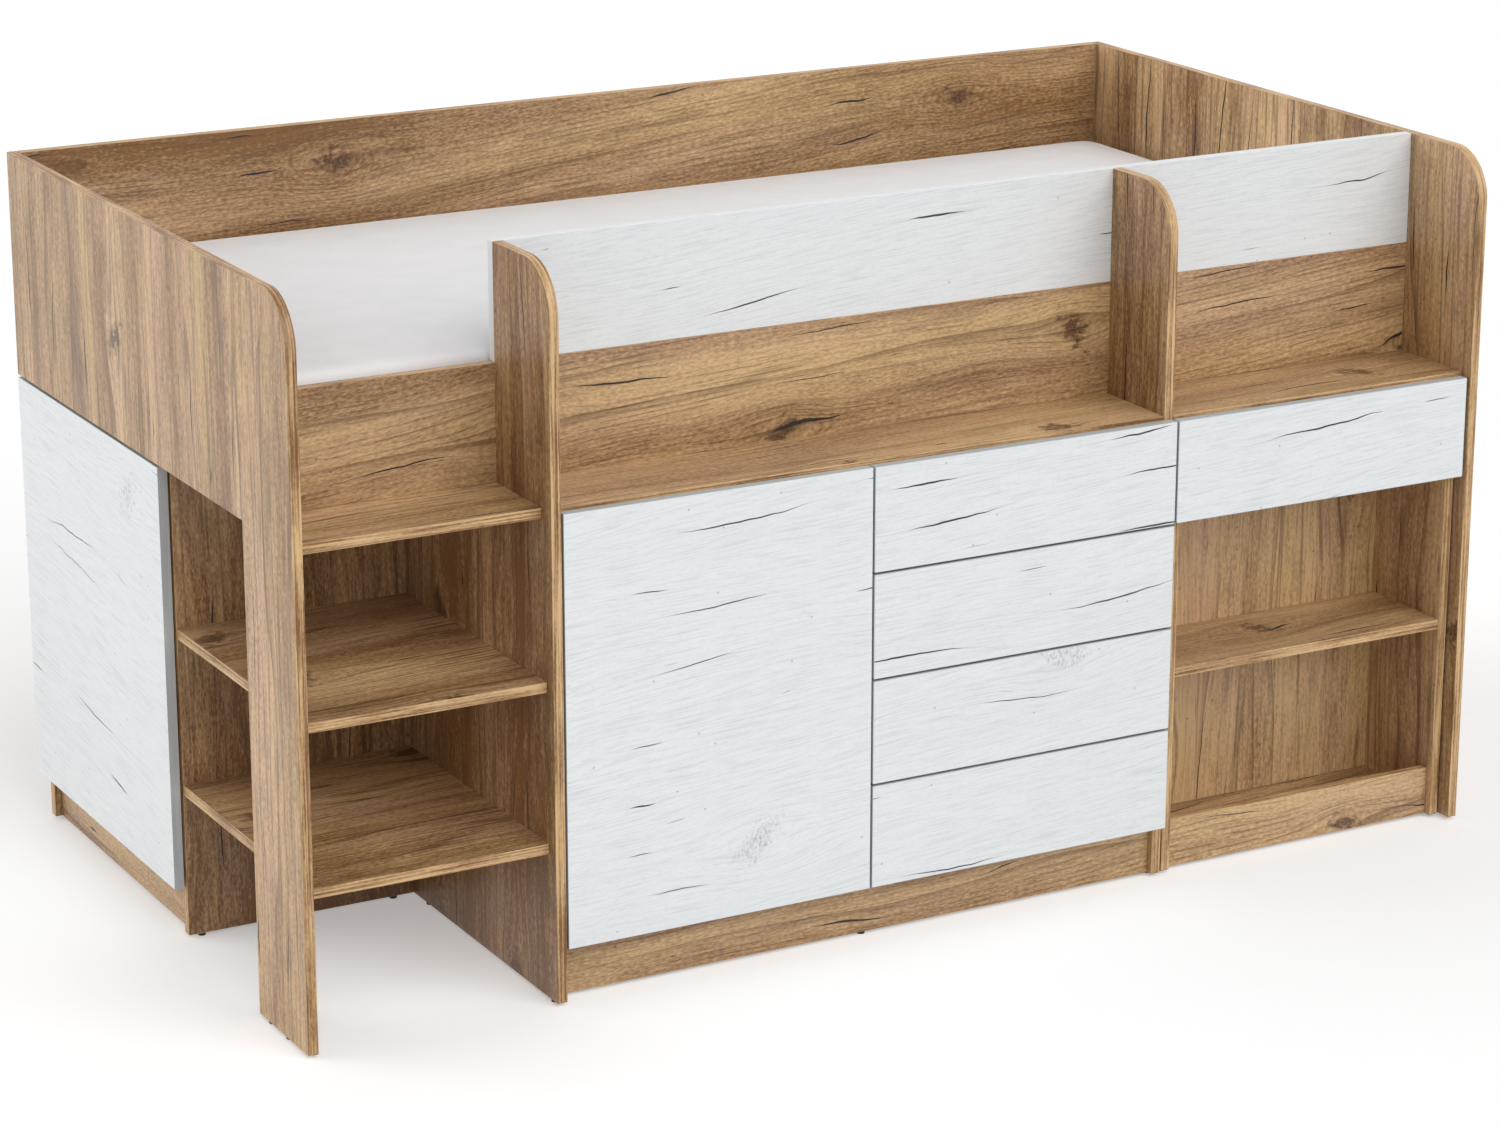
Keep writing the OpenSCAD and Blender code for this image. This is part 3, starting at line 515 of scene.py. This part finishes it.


# White edging: the same cold white with faint lines along the edge. On doors and drawer fronts it is
# thin ABS, coloured a darker grey white as painted shade, so that the gaps between them look dark.
def white_edging(tree, dark, pale):
    where = add(tree, "UVMap", uv_map="grain")
    streaks = noise(tree, where, (143, 2.4), 3, 0.6)
    return {
        "Base Color": inked(tree, dark, [(weighed(tree, 0.65, [(streaks, 1.2)]), pale)]),
        "Roughness": weighed(tree, 0.42, [(streaks, 0.12)]),
        "IOR": 1.5,
    }, {"Height": streaks, "Distance": 0.06 * MM}


def around(tree, size, detail=2.0, rough=0.5, stretch=(1, 1, 1)):
    """Noise through the solid, with features of the given size in metres."""
    place = add(tree, "TexCoord", out="Object")
    scaled = add(tree, "VectorMath", (place, stretch), operation="MULTIPLY")
    return add(tree, "TexNoise", {"Vector": scaled, "Scale": 1 / size, "Detail": detail,
                                  "Roughness": rough})


# Plain white melamine on chipboard, pressed with a fine pearl: a satin white with a slight tooth.
def white_melamine(tree):
    pearl = around(tree, 1.2 * MM, 2)
    tone = weighed(tree, 0.5, [(around(tree, 250 * MM, 1), 1.0), (pearl, 0.4)])
    return {
        "Base Color": inked(tree, "E4E4E1", [(tone, "F0F0ED")]),
        "Roughness": weighed(tree, 0.42, [(pearl, 0.15)]),
        "IOR": 1.5,
    }, {"Height": pearl, "Distance": 0.05 * MM}


# Thin hardboard, lacquered white: pressed fibres show through the lacquer as fine flecks.
def lacquered_hardboard(tree):
    fibre = around(tree, 2.5 * MM, 4, 0.7)
    tone = weighed(tree, 0.5, [(around(tree, 120 * MM, 2), 0.8), (fibre, 0.9)])
    return {
        "Base Color": inked(tree, "DADAD4", [(tone, "EFEFEA")]),
        "Roughness": weighed(tree, 0.5, [(fibre, 0.25)]),
        "IOR": 1.48,
    }, {"Height": fibre, "Distance": 0.08 * MM}


# Sanded birch without lacquer: pale and matt, fine straight streaks, each slat a shade of its own.
def birch(tree, along):
    drawn = [0.025 if axis == along else 1.0 for axis in range(3)]
    whole = [0.02 if axis == along else 1.0 for axis in range(3)]
    streaks = around(tree, 5 * MM, 4, 0.6, drawn)
    flecks = around(tree, 1.5 * MM, 2, 0.5, drawn)
    shade = around(tree, 90 * MM, 1, 0.5, whole)
    tone = weighed(tree, 0.5, [(streaks, 0.9), (flecks, 0.5), (shade, 1.4)])
    return {
        "Base Color": inked(tree, "C3A172", [(tone, "EAD5B0")]),
        "Roughness": weighed(tree, 0.6, [(streaks, 0.2)]),
        "IOR": 1.5,
    }, {"Height": streaks, "Distance": 0.12 * MM}


# Rolled steel, powder coated white and baked: an orange peel of about 1.5 mm under a satin gloss.
def powder_coat(tree):
    peel = around(tree, 1.5 * MM, 2)
    wear = around(tree, 30 * MM, 3, 0.6)
    return {
        "Base Color": inked(tree, "DEDDD8", [(weighed(tree, 0.5, [(wear, 0.8)]), "ECEBE7")]),
        "Roughness": weighed(tree, 0.36, [(wear, 0.12)]),
        "IOR": 1.5,
    }, {"Height": peel, "Distance": 0.04 * MM}


# Pressed steel, nickel plated: warm grey metal with a soft gloss and fine drawing lines.
def nickel(tree):
    lines = around(tree, 0.8 * MM, 3, 0.6, (1, 1, 0.15))
    tarnish = around(tree, 12 * MM, 3, 0.6)
    return {
        "Base Color": inked(tree, "C4C0B8", [(weighed(tree, 0.5, [(tarnish, 0.8)]), "DEDBD4")]),
        "Metallic": 1.0,
        "Roughness": weighed(tree, 0.28, [(lines, 0.18), (tarnish, 0.12)]),
    }, {"Height": lines, "Distance": 0.02 * MM}


# Injection moulded polyethylene or polyamide: matt, with the fine spark grain of its mould.
def moulded(tree, dark, pale):
    grain = around(tree, 0.7 * MM, 3, 0.6)
    scuffs = around(tree, 9 * MM, 3, 0.65)
    return {
        "Base Color": inked(tree, dark, [(weighed(tree, 0.4, [(scuffs, 0.9)]), pale)]),
        "Roughness": weighed(tree, 0.5, [(scuffs, 0.2), (grain, 0.1)]),
        "IOR": 1.5,
    }, {"Height": grain, "Distance": 0.06 * MM}


# Double knitted polyester cover: matt and soft, with loops of about 2 mm, drawn at 4 mm so that they
# show, and broad faint shade where the knit stretches.
def knitted_cover(tree):
    place = add(tree, "TexCoord", out="Object")
    loops = add(tree, "TexVoronoi", {"Vector": place, "Scale": 1 / (4 * MM), "Randomness": 0.45})
    fuzz = around(tree, 2 * MM, 3, 0.7)
    shade = around(tree, 60 * MM, 3, 0.55)
    tone = weighed(tree, 0.55, [(shade, 0.9), (fuzz, 0.35), (loops, -0.3)])
    height = weighed(tree, 0.5, [(loops, -0.8), (fuzz, 0.4)])
    return {
        "Base Color": inked(tree, "E9E8E9", [(tone, "F6F5F6")]),
        "Roughness": 0.9,
        "Sheen Weight": 0.12,
        "Sheen Roughness": 0.5,
    }, {"Height": height, "Distance": 0.5 * MM, "Strength": 0.6}


GOLDEN_OAK = coated("golden_oak_decor_board", golden_oak)
GOLDEN_OAK_STRIPS = coated("golden_oak_decor_board_in_strips", lambda tree: golden_oak(
    tree, strips=0.24, seams=0.4, rings=0.4, lines=0.5, streaks=1.1, bands=0.5, slant=0.0,
    streak=(67, 8), knotty=0.26, cracked=0.56, longest=140))
GOLDEN_OAK_STREAKED = coated("golden_oak_decor_board_with_dark_streaks", lambda tree: golden_oak(
    tree, strips=0.2, seams=0.3, rings=1.0, lines=0.75, streaks=0.9, slant=0.05, streak=(67, 6.25)))
GOLDEN_EDGING = coated("golden_oak_melamine_edging", golden_edging)
WHITE_OAK = coated("white_oak_decor_board", white_oak)
WHITE_EDGING = coated("white_melamine_edging", lambda tree: white_edging(tree, "DADEE0", "F4F6F7"))
# The fronts' edging is darkened to grey as painted shade in the gaps between doors and drawers.
FRONT_EDGING_GREYED_AS_PAINTED_SHADE = coated("abs_edging_greyed_as_painted_gap_shade", lambda tree: white_edging(tree, "A9AEB1", "C6CBCD"))
WHITE_MELAMINE = coated("pearl_white_melamine_board", white_melamine)
HARDBOARD = coated("white_lacquered_hardboard", lacquered_hardboard)
BIRCH_ACROSS = coated("sanded_birch_slats", lambda tree: birch(tree, 1))
BIRCH_ALONG = coated("sanded_birch_bearers", lambda tree: birch(tree, 0))
POWDER_COAT = coated("white_powder_coated_steel", powder_coat)
NICKEL = coated("nickel_plated_pressed_steel", nickel)
BLACK_PLASTIC = coated("moulded_black_polyethylene", lambda tree: moulded(tree, "17181A", "2B2C2E"))
GREY_PLASTIC = coated("moulded_grey_polyamide", lambda tree: moulded(tree, "55575A", "77797B"))
KNITTED_COVER = coated("knitted_polyester_cover", knitted_cover)


# ---------------------------------------------------------------- boards

ARC_STEPS = 24
FINE_STEPS = 3
ARRIS = 0.9 * MM
PROFILE = np.radians([0, 30, 60, 90])  # turns of an arris, from a board's face to its edge
RINGS = 2 * len(PROFILE)
SHARP_CORNER = 2.0 * MM
ROUND_FRONT = 80 * MM
HARDBOARD_ARRIS = 0.3 * MM
HARDBOARD_CORNER = 0.45 * MM
BOARD_THICKNESS = 16 * MM
LEG_DEPTH = 181 * MM  # of the left end panel's front leg
BACK_SHIFT = 0.93  # metres across the print: a board's back shows another part of it
TWIN_SHIFT = 0.41  # and so does the next board of the same outline
PRINT_STEP = np.array((3.17, 1.37))  # metres from one board's cut of the print to the next


def rounded_outline(corners, radii, steps):
    """Draws a closed outline, anticlockwise, whose corners are arcs.

    With n_in and n_out the inward normals of the two sides that meet at a corner, the arc's centre
    is the corner + r (n_in + n_out) / (1 + n_in . n_out), where r is the radius, taken negative at
    an inner corner. Its points are centre - r n, with n turning evenly from n_in to n_out. Gives the
    points and their outward normals -n.
    """
    corners = np.asarray(corners, float)
    side = np.roll(corners, -1, 0) - corners
    side /= np.linalg.norm(side, axis=1, keepdims=True)
    leaving = np.stack([-side[:, 1], side[:, 0]], 1)
    coming = np.roll(leaving, 1, 0)
    turn = coming[:, 0] * leaving[:, 1] - coming[:, 1] * leaving[:, 0]
    reach = (np.sign(turn) * radii)[:, None]
    centre = corners + reach * (coming + leaving) / (1 + (coming * leaving).sum(1, keepdims=True))
    start = np.arctan2(coming[:, 1], coming[:, 0])
    sweep = np.arctan2(turn, (coming * leaving).sum(1))
    angle = start[:, None] + sweep[:, None] * np.linspace(0, 1, steps + 1)
    inward = np.stack([np.cos(angle), np.sin(angle)], 2)
    points = centre[:, None] - reach[:, None] * inward
    return points.reshape(-1, 2), -inward.reshape(-1, 2)


def slab(points, normals, low, high, radius):
    """Carries a board's edge profile along its outline, from one face to the other.

    The profile is a quarter circle at each face: at angle a from the face's normal it lies
    radius (1 - sin a) inside the outline and radius (1 - cos a) from the face. Gives the rings
    (RINGS, n, 3), their normals, and the length along the profile of each ring.
    """
    out = np.sin(np.r_[PROFILE, PROFILE[::-1]])
    up = np.r_[-np.cos(PROFILE), np.cos(PROFILE[::-1])]
    inset = radius * (1 - out)
    near = radius * (1 - np.cos(PROFILE))
    level = np.r_[low + near, high - near[::-1]]
    rings = np.concatenate([
        points[None] - inset[:, None, None] * normals[None],
        np.broadcast_to(level[:, None, None], (RINGS, len(points), 1)),
    ], 2)
    facing = np.concatenate([
        out[:, None, None] * normals[None],
        np.broadcast_to(up[:, None, None], (RINGS, len(points), 1)),
    ], 2)
    steps = np.hypot(np.diff(inset), np.diff(level))
    return rings, facing, np.r_[0, np.cumsum(steps)]


def make_object(name, mesh, materials):
    """Puts a mesh in the scene with its finishes."""
    for finish in materials:
        mesh.materials.append(finish)
    piece = bpy.data.objects.new(name, mesh)
    bpy.context.scene.collection.objects.link(piece)
    return piece


def stand_for(piece, node):
    """The piece rides with the body of the solid that it stands for, and the solid is hidden."""
    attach(piece, NODES[node]["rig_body"])
    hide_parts(node)


# How much paler than the middle of the golden print's range a board is, and its edging. This is partly
# the board's own cut of the print and partly painted light and shade: the back of the step bay, the
# dividers and the back board are darkened as painted shade, the desk niche's back and sides are paled
# as painted light, and the left end panel's edging is made darker.
PRINT_TONE_AND_PAINTED_LIGHT = {
    "back_board": -0.16,
    "left_end_panel": 0.06,
    "left_divider": -0.3,
    "right_divider": -0.2,
    "cabinet_top": 0.2,
    "locker_front_side": -0.34,
    "desk_plinth": 0.1,
    "desk_back": 0.3,
    "desk_sides": 0.15,
}
EDGE_SHADE = {"left_end_panel": -0.2}

cut_numbers = itertools.count(1)


def next_cut():
    """Where on the print the next board is cut, so that no two boards look alike."""
    return PRINT_STEP * next(cut_numbers)


def board(node, finishes, grain, corners, radii, spans, thick, arris=ARRIS, steps=FINE_STEPS):
    """A coated board, or several of one outline, as one mesh.

    corners lie in the plane of the two axes after the thickness axis, and spans are the boards'
    low and high faces along it. On both faces the print's u runs along the grain axis and v across
    it; on the edging u is the way along the outline and v the way across the edge.
    """
    first, second = (thick + 1) % 3, (thick + 2) % 3
    points, normals = rounded_outline(corners, radii, steps)
    count = len(points)
    cut = next_cut()
    lap = np.r_[0, np.cumsum(np.linalg.norm(np.roll(points, -1, 0) - points, axis=1))]
    ring = np.arange(count)
    after = np.roll(ring, -1)
    row = np.arange(RINGS - 1)[:, None] * count
    verts, facing, quads, caps, edge_uv, cap_uv = [], [], [], [], [], []
    for index, (low, high) in enumerate(spans):
        rings, out, deep = slab(points, normals, low, high, arris)
        placed = np.empty_like(rings)
        placed[..., [first, second, thick]] = rings
        turned = np.empty_like(out)
        turned[..., [first, second, thick]] = out
        base = index * RINGS * count
        loop = [row + ring, row + after, row + count + after, row + count + ring]
        quads.append(np.stack(loop, 2) + base)
        along = np.stack([lap[:-1], lap[1:], lap[1:], lap[:-1]], 1)
        along = np.broadcast_to(along, (len(row), count, 4))
        down = np.stack([deep[:-1], deep[:-1], deep[1:], deep[1:]], 1)
        down = np.broadcast_to(down[:, None], (len(row), count, 4))
        edge_uv.append(np.stack([along, down], 3) + cut)
        across = second if grain == first else first
        for level, order, shift in ((RINGS - 1, ring, 0.0), (0, ring[::-1], BACK_SHIFT)):
            caps.append(tuple(base + level * count + order))
            moved = cut + (0, shift + TWIN_SHIFT * index)
            cap_uv.append(placed[level][order][:, [grain, across]] + moved)
        verts.append(placed.reshape(-1, 3))
        facing.append(turned.reshape(-1, 3))
    quads = np.concatenate(quads).reshape(-1, 4)
    mesh = bpy.data.meshes.new(node + "_board")
    mesh.from_pydata(np.concatenate(verts).tolist(), [], quads.tolist() + caps, shade_flat=False)
    edging = np.r_[np.ones(len(quads), int), np.zeros(len(caps), int)]
    mesh.polygons.foreach_set("material_index", edging)
    # Each face's tone shift: the print's own tone, plus painted shade or painted light on boards in
    # recesses.
    shade = np.where(edging == 1, EDGE_SHADE.get(node, 0.0), PRINT_TONE_AND_PAINTED_LIGHT.get(node, 0.0)).astype(np.float32)
    mesh.attributes.new("shade", "FLOAT", "FACE").data.foreach_set("value", shade)
    uv = np.concatenate([np.concatenate(edge_uv).reshape(-1, 2), np.concatenate(cap_uv)])
    mesh.uv_layers.new(name="grain").data.foreach_set("uv", uv.ravel())
    mesh.normals_split_custom_set_from_vertices(np.concatenate(facing).tolist())
    stand_for(make_object(mesh.name, mesh, finishes), node)


def plain_board(node, finishes, grain, corner=SHARP_CORNER, arris=ARRIS):
    """A rectangular board as large as its solid."""
    low, high = (np.array(end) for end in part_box(node))
    thick = int(np.argmin(high - low))
    first, second = (thick + 1) % 3, (thick + 2) % 3
    a0, a1, b0, b1 = low[first], high[first], low[second], high[second]
    corners = [(a0, b0), (a1, b0), (a1, b1), (a0, b1)]
    spans = [(low[thick], high[thick])]
    board(node, finishes, grain, corners, np.full(4, corner), spans, thick, arris)


def upright_board(node, inner=None, keeps_foot=True, front_corner=ROUND_FRONT):
    """A board across the bed, or one at each end of its solid.

    Its face is as large as its solid, less a rectangle at the rear whose inner corner is given as
    (y, z). The rectangle is cut from the top where the board keeps its foot, or else from below.
    front_corner is the radius of the upper front corner.
    """
    (left, front, foot), (right, rear, top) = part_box(node)
    if inner is None:
        behind = [(rear, foot), (rear, top)]
    elif keeps_foot:
        behind = [(rear, foot), (rear, inner[1]), inner, (inner[0], top)]
    else:
        behind = [(inner[0], foot), inner, (rear, inner[1]), (rear, top)]
    corners = [(front, foot), *behind, (front, top)]
    radii = np.full(len(corners), SHARP_CORNER)
    radii[-1] = front_corner
    single = right - left < 2 * BOARD_THICKNESS
    twins = [(left, left + BOARD_THICKNESS), (right - BOARD_THICKNESS, right)]
    spans = [(left, right)] if single else twins
    board(node, STRIPS, Z, corners, radii, spans, X, steps=ARC_STEPS)


GOLDEN = (GOLDEN_OAK, GOLDEN_EDGING)
STRIPS = (GOLDEN_OAK_STRIPS, GOLDEN_EDGING)
STREAKED = (GOLDEN_OAK_STREAKED, GOLDEN_EDGING)
FRONT = (WHITE_OAK, FRONT_EDGING_GREYED_AS_PAINTED_SHADE)

FRONT_Y = CAD_BOX[0][Y]
FIN_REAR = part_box("side_wall")[0][Y]
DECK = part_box("cabinet_top")[1][Z]
BAND_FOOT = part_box("locker_top")[1][Z]
APRON_CORNER = tuple(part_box("desk_back")[1])[Y:]
upright_board("left_end_panel", (FRONT_Y + LEG_DEPTH, BAND_FOOT), keeps_foot=False)
upright_board("right_end_panel")
upright_board("left_divider", (FIN_REAR, DECK))
upright_board("right_divider", (FIN_REAR, DECK))
upright_board("desk_sides", APRON_CORNER, keeps_foot=False, front_corner=SHARP_CORNER)

GOLDEN_BOARDS = {
    X: ("back_board", "side_wall", "top_step", "middle_step", "bottom_step", "cabinet_top",
        "cabinet_plinth", "desk_ledge", "desk_top", "desk_shelf", "desk_bottom", "desk_plinth"),
    Y: ("locker_top", "locker_bottom", "locker_shelf", "locker_plinth"),
    Z: ("locker_front_side", "locker_rear_side", "desk_back", "desk_rear_panel"),
}
STREAKED_BOARDS = ("top_step", "middle_step", "bottom_step")
for grain, names in GOLDEN_BOARDS.items():
    for name in names:
        finishes = STREAKED if name in STREAKED_BOARDS else STRIPS if grain == Z else GOLDEN
        plain_board(name, finishes, grain)

DRAWERS = ["drawer_%d" % number for number in (1, 2, 3, 4)] + ["desk_drawer"]
plain_board("guard_rail", (WHITE_OAK, WHITE_EDGING), X)
for drawer in DRAWERS:
    plain_board(drawer + "_front", FRONT, X)
for name, grain in (("cabinet_bottom", X), ("cabinet_partition", Z), ("cabinet_shelf", X)):
    plain_board(name, (WHITE_MELAMINE, WHITE_MELAMINE), grain)
plain_board("cabinet_back", (HARDBOARD, HARDBOARD), X, HARDBOARD_CORNER, HARDBOARD_ARRIS)


MERGE_DIGITS = 5  # points that agree to this many digits of a metre are one
FLAT_WITHIN = math.radians(1)
ARRIS_FROM = math.radians(40)
FACE_ON = 0.9  # what a normal has along the thickness axis, at least, on a face


def merged(node):
    """The solid's points and triangles, with points that fall together made one."""
    mesh = NODES[node].data
    co = np.empty(len(mesh.vertices) * 3, np.float32)
    mesh.vertices.foreach_get("co", co)
    corner = np.empty(len(mesh.loops), np.int32)
    mesh.loops.foreach_get("vertex_index", corner)
    points, index = np.unique(co.reshape(-1, 3).round(MERGE_DIGITS), axis=0, return_inverse=True)
    return points, index.ravel()[corner].reshape(-1, 3)


def door(node, grain):
    """A door with its cup holes, from the merged solid: flat faces become one face each, and the
    print's u runs along the grain on both faces, and along the edge on the edging."""
    points, triangles = merged(node)
    mesh = bpy.data.meshes.new(node + "_leaf")
    mesh.from_pydata(points.tolist(), [], triangles.tolist(), shade_flat=True)
    shape = bmesh.new()
    shape.from_mesh(mesh)
    bmesh.ops.dissolve_limit(shape, angle_limit=FLAT_WITHIN, verts=shape.verts, edges=shape.edges)
    shape.to_mesh(mesh)
    shape.free()
    thick = int(np.argmin(np.ptp(points, axis=0)))
    across = 3 - thick - grain
    sizes = np.empty(len(mesh.polygons), np.int32)
    mesh.polygons.foreach_get("loop_total", sizes)
    normals = np.empty(len(mesh.polygons) * 3, np.float32)
    mesh.polygons.foreach_get("normal", normals)
    normals = np.abs(normals.reshape(-1, 3))
    corner = np.empty(len(mesh.loops), np.int32)
    mesh.loops.foreach_get("vertex_index", corner)
    co = np.empty(len(mesh.vertices) * 3, np.float32)
    mesh.vertices.foreach_get("co", co)
    place = co.reshape(-1, 3)[corner]
    facing = np.repeat(normals, sizes, axis=0)
    flat = place[:, [grain, across]]
    end_edge = place[:, [across, thick]]
    long_edge = place[:, [grain, thick]]
    on_end = (facing[:, grain] > facing[:, across])[:, None]
    uv = np.where((facing[:, thick] > FACE_ON)[:, None], flat, np.where(on_end, end_edge, long_edge))
    uv = (uv + next_cut()).astype(np.float32)
    mesh.uv_layers.new(name="grain").data.foreach_set("uv", uv.ravel())
    mesh.polygons.foreach_set("material_index", (normals[:, thick] < FACE_ON).astype(np.int32))
    piece = make_object(mesh.name, mesh, FRONT)
    arris = piece.modifiers.new("arris", "BEVEL")
    arris.width = ARRIS
    arris.segments = len(PROFILE) - 1
    arris.limit_method = "ANGLE"
    arris.angle_limit = ARRIS_FROM
    arris.harden_normals = True
    stand_for(piece, node)


door("front_door", X)
door("end_door", Y)


# ---------------------------------------------------------------- fittings keep their solids

FITTINGS = {
    WHITE_MELAMINE: [drawer + "_box" for drawer in DRAWERS],
    BIRCH_ACROSS: ["bed_slats"],
    BIRCH_ALONG: ["slat_bearers"],
    POWDER_COAT: ["cabinet_runners", "desk_runners"] + [drawer + "_runners" for drawer in DRAWERS],
    NICKEL: ["shelf_pins", "hinge_plates", "front_door_cups", "end_door_cups", "desk_roller_brackets"],
    BLACK_PLASTIC: ["plastic_glides"],
    GREY_PLASTIC: ["desk_front_rollers", "desk_rear_rollers"],
}
for finish, names in FITTINGS.items():
    for name in names:
        slots = NODES[name].data.materials
        slots.clear()
        slots.append(finish)


# ---------------------------------------------------------------- mattress

VOXEL = 14 * MM
START_INSIDE = 2.5 * MM  # the cover starts this far inside its solid
PRESSURE = 4.0
CLOTH_QUALITY = 5
SWELL = 5 * MM  # the most that the cover may move from where it starts
SWELL_FRAMES = 20
STILL = 1e-9  # metres: a point that moved less than this has not moved
ROOM = np.array((2.5, 2.0, 6.0)) * MM  # how far it may pass the ends, the long sides and the top


def puff(piece):
    """Blows the cover up with cloth and gives its points, each within SWELL of where it began."""
    mesh = piece.data
    start = np.empty(len(mesh.vertices) * 3, np.float32)
    mesh.vertices.foreach_get("co", start)
    start = start.reshape(-1, 3)
    cloth = piece.modifiers.new("cover", "CLOTH")
    cloth.settings.use_pressure = True
    cloth.settings.uniform_pressure_force = PRESSURE
    cloth.settings.effector_weights.gravity = 0.0
    cloth.settings.quality = CLOTH_QUALITY
    scene = bpy.context.scene
    for number in range(1, SWELL_FRAMES + 1):
        scene.frame_set(number)
    shown = piece.evaluated_get(bpy.context.evaluated_depsgraph_get()).to_mesh()
    moved = np.empty(len(shown.vertices) * 3, np.float32)
    shown.vertices.foreach_get("co", moved)
    way = moved.reshape(-1, 3) - start
    far = np.linalg.norm(way, axis=1, keepdims=True)
    way *= np.minimum(1, SWELL / np.maximum(far, STILL))
    piece.modifiers.remove(cloth)
    scene.frame_set(1)
    return start + way


def make_mattress():
    """The cover: even faces, puffed up, kept in the room between the boards and flat on the slats."""
    low, high = (np.array(end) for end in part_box("mattress"))
    points, triangles = merged("mattress")
    middle = (low + high) / 2
    points = middle + (points - middle) * (1 - 2 * START_INSIDE / (high - low))
    mesh = bpy.data.meshes.new("mattress_cover")
    mesh.from_pydata(points.tolist(), [], triangles.tolist())
    piece = make_object("mattress_cover", mesh, [KNITTED_COVER])
    remesh = piece.modifiers.new("even_faces", "REMESH")
    remesh.mode = "VOXEL"
    remesh.voxel_size = VOXEL
    shown = piece.evaluated_get(bpy.context.evaluated_depsgraph_get())
    piece.data = bpy.data.meshes.new_from_object(shown)
    piece.modifiers.clear()
    mesh = piece.data
    mesh.name = "mattress_cover"
    settled = np.clip(puff(piece), low - ROOM * (1, 1, 0), high + ROOM)
    mesh.vertices.foreach_set("co", settled.astype(np.float32).ravel())
    mesh.shade_smooth()
    smooth = piece.modifiers.new("smooth", "SUBSURF")
    smooth.levels = smooth.render_levels = 1
    stand_for(piece, "mattress")


make_mattress()

bpy.context.view_layer.update()
